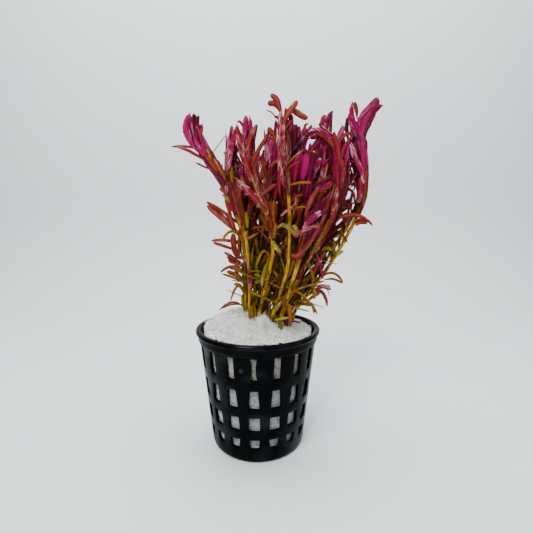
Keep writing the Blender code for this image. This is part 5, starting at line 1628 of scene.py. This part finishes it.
    ("14", ((36.9, 97.5), (36.3, 101.5), (34, 102.9), (31.3, 101.4)), 0.6, 1.2, 0.72, 0.0),
    ("14", ((36.1, 95), (34.3, 97.4), (31.8, 98.2)), 0.6, 1.1, 0.66, 0.0),
    ("14", ((36, 95.2), (33.6, 96.6), (31, 95.4)), 0.9, 1.1, 0.58, 0.1),
    ("14", ((28, 85.9), (30.8, 86.5), (33.2, 85.3), (34.6, 83)), 1.0, 1.0, 0.46, 0.3),
    ("14", ((24.8, 84.3), (28, 87), (31.6, 89.7), (35.5, 94)), 1.0, 1.9, 0.64, 0.1),
    ("14", ((37.5, 89.5), (39.5, 90.6), (42, 90.4)), 0.4, 1.6, 0.52, 0.2),
    ("14", ((28.2, 75.8), (27, 73), (25.6, 70)), 0.2, 1.0, 0.36, 0.2),
    ("14", ((26, 68.6), (29.5, 68.8), (33.2, 67.2)), 0.9, 1.0, 0.34, 0.2),
    ("15", ((17, 106.5), (18, 111), (18.5, 115.8)), 1.0, 2.7, 0.88, 0.15),
    ("15", ((14, 105.5), (14.6, 110.5), (15.6, 115.3)), 0.8, 2.2, 0.80, 0.1),
    ("15", ((19.8, 109.5), (20.5, 113), (20.7, 116.8)), 0.7, 2.0, 0.94, 0.1),
    ("15", ((12.4, 103.5), (12.4, 108), (13, 112.5)), 0.4, 1.6, 0.82, 0.1),
    ("15", ((17.8, 113), (18.3, 115.5), (17.5, 117.6)), 0.4, 1.9, 0.92, 0.1),
    ("15", ((19, 114), (19.8, 116), (21, 118.3)), 0.3, 1.0, 0.60, 0.0),
    ("15", ((17.3, 96.5), (19.5, 98), (22.5, 98.5)), 0.8, 1.6, 0.95, 0.0),
    ("15", ((9, 66.7), (13, 65.1), (16.5, 63.4), (20.5, 59.8)), 3.0, 1.0, 0.22, 0.1),
    ("15", ((11.2, 65.3), (10.9, 67.8), (10.5, 70.4)), 2.0, 1.4, 0.12, 0.1),
    ("15", ((12.4, 78), (12.5, 81.5), (12.6, 85.5)), 1.5, 1.4, 0.66, 0.5),
    ("15", ((17.5, 90), (19, 94), (19.5, 98)), 0.6, 1.8, 0.52, 0.2),
    ("15", ((12.6, 90.5), (14.2, 94), (15, 97.5)), 0.8, 1.5, 0.58, 0.3),
    ("15", ((12.8, 98), (14.5, 100), (17.5, 101)), 1.0, 1.4, 0.56, 0.1),
    ("16", ((20.4, 106.5), (22.3, 110.5), (23.7, 114.5)), 1.5, 2.0, 0.80, 1.0),
    ("16", ((23.4, 104.5), (23.9, 107.5), (24.4, 111)), 0.8, 1.8, 0.74, 0.5),
    ("16", ((22.4, 111), (23.5, 114.5), (24, 118.2)), 0.3, 1.8, 0.94, 0.2),
    ("16", ((24.7, 105), (25.6, 109), (26.5, 112.5)), 0.6, 1.0, 0.36, 0.6),
    ("16", ((19.5, 103), (22.5, 105.2), (27, 107)), 1.0, 1.2, 0.60, 0.1),
    ("16", ((22.7, 98.5), (24.5, 102), (28.5, 104.5)), 0.9, 1.4, 0.50, 0.0),
    ("16", ((13.2, 79), (14, 82), (13.4, 84.8)), 3.5, 1.8, 0.10, 0.5),
    ("16", ((25.5, 94), (26.8, 98), (27.8, 102)), 0.3, 2.6, 0.82, 0.3),
    ("16", ((25.4, 98), (26.2, 101.5), (26.6, 105)), -0.5, 1.8, 0.62, 0.1),
    ("16", ((27.9, 101), (28.6, 105), (28.9, 109.5)), -0.5, 1.6, 0.90, 0.1),
    ("16", ((20, 101), (22.6, 102.2), (26.2, 102)), 1.0, 1.5, 0.56, 0.2),
    ("16", ((21.5, 94), (24, 97.5), (26.5, 100.5)), 0.8, 1.4, 0.48, 0.1),
    ("16", ((17.8, 84.5), (20.4, 86.4), (23.5, 87.4)), 1.2, 1.4, 0.56, 0.2),
    ("17", ((17.5, 88.3), (20.5, 91.5), (24.6, 94.7)), 1.0, 2.2, 0.91, 0.8),
    ("17", ((19, 91), (22, 94.5), (24, 99)), 0.4, 1.8, 0.96, 0.1),
    ("17", ((18, 93), (20.5, 99), (23.5, 104)), 0.4, 1.6, 0.60, 0.3),
    ("17", ((14, 85.2), (17.3, 87.2), (20.8, 89), (24, 89.6)), 1.4, 1.6, 0.62, 0.5),
    ("17", ((13, 78), (15.4, 77.9), (18, 79.9)), 1.0, 2.2, 0.60, 0.2),
)


def along_sight(x, z, y):
    """A place seen at (x, z) in the plane before the bunch, moved along the line of sight to a depth."""
    nearer = (y - EYE.y) / (SEEN_PLANE - EYE.y)
    return Vector((EYE.x + (x - EYE.x) * nearer, y, EYE.z + (z - EYE.z) * nearer))


draw = random.Random(9)
for name, seen, stand, width, ripe, sheen in FRONT_LEAVES:
    shoot, route = SHOOTS[name], routes[name]
    knots = []
    for k, (x, z) in enumerate(seen):
        place = Vector((x, SEEN_PLANE, z))
        for _ in range(3):
            distance = route.distance_at_height(min(place.z * MM, route.points[-1].z))
            depth = route.at(distance).y - half_sizes(shoot, route, distance)[1]
            place = along_sight(x, z, depth / MM - stand)
        knots.append(place * MM)
    points = smooth_midrib(knots)
    lean = draw.uniform(-0.45, 0.45)
    along = (knots[-1] - knots[0]).normalized()
    facing = (TO_VIEW * math.cos(lean) + along.cross(TO_VIEW) * math.sin(lean)).normalized()
    cup, twist = draw.uniform(-0.6, 0.1), draw.uniform(-0.25, 0.25)
    crown_beds[name].add(
        points, [facing] * len(points), width * MM, (ripe - 0.02, ripe + 0.01), sheen, cup, twist)
for group, names in CROWN_GROUPS.items():
    crown_beds[group].piece(group, "crown_leaf", *[f"crown_{name}" for name in names])


# The studio: a plain pale sweep of card under and behind the plant. The light is a soft
# window at the upper left, a weaker fill at the right, a small glint, and one for the card.
FLOOR_FRONT = -0.60
FLOOR_BACK = 0.14
SWEEP_BEND = 0.12
SWEEP_HALF_WIDTH = 1.2
BEND_START, BEND_END = 0.5, 0.7     # shares of the card's run from front to top
WALL_RISE = 2.0
sweep = bmesh.new()
bmesh.ops.create_grid(sweep, x_segments=1, y_segments=48, size=1.0)
for vert in sweep.verts:
    run = (vert.co.y + 1) / 2
    flat = FLOOR_FRONT + (FLOOR_BACK - FLOOR_FRONT) * min(1.0, run / BEND_START)
    lean = min(1.0, max(0.0, (run - BEND_START) / (BEND_END - BEND_START))) * math.pi / 2
    rise = SWEEP_BEND * (1 - math.cos(lean)) + max(0.0, run - BEND_END) * WALL_RISE
    vert.co = (vert.co.x * SWEEP_HALF_WIDTH, flat + SWEEP_BEND * math.sin(lean), rise)
sweep_mesh = bpy.data.meshes.new("sweep")
sweep.to_mesh(sweep_mesh)
sweep.free()
sweep_mesh.shade_smooth()
pale_sweep, shader, wire = new_material("pale_sweep", Roughness=0.6, Specular_IOR_Level=0.2)
clouds = noise(wire, object_coordinates(wire), 14, 3)
wire_up(
    pale_sweep.node_tree, shader,
    Base_Color=clouds.mix((0.70, 0.74, 0.77, 1), (0.78, 0.80, 0.81, 1)),
)
sweep_mesh.materials.append(pale_sweep)
sweep_object = bpy.data.objects.new("sweep", sweep_mesh)
bpy.context.scene.collection.objects.link(sweep_object)


def add_light(name, place, target, size, power, colour=(1, 1, 1)):
    data = bpy.data.lights.new(name, "AREA")
    data.shape = "RECTANGLE"
    data.size, data.size_y = size
    data.energy = power
    data.color = colour
    light = bpy.data.objects.new(name, data)
    light.location = place
    light.rotation_euler = (Vector(target) - Vector(place)).to_track_quat("-Z", "Y").to_euler()
    bpy.context.scene.collection.objects.link(light)


add_light("window", (-0.16, -0.30, 0.46), (0.0, 0.0, 0.08), (0.22, 0.16), 2.6)
add_light("fill", (0.45, -0.20, 0.25), (0.0, 0.0, 0.07), (0.20, 0.20), 0.7, (0.95, 0.98, 1.0))
add_light("glint", (-0.12, -0.36, 0.34), (0.01, 0.0, 0.09), (0.04, 0.04), 0.55)
add_light("backdrop_light", (0.0, 0.06, 0.55), (0.0, 0.14, 0.0), (0.7, 0.3), 4.5)
world = bpy.data.worlds.new("studio")
world.use_nodes = True
world.node_tree.nodes["Background"].inputs["Color"].default_value = (0.82, 0.86, 0.90, 1.0)
world.node_tree.nodes["Background"].inputs["Strength"].default_value = 0.08
bpy.context.scene.world = world
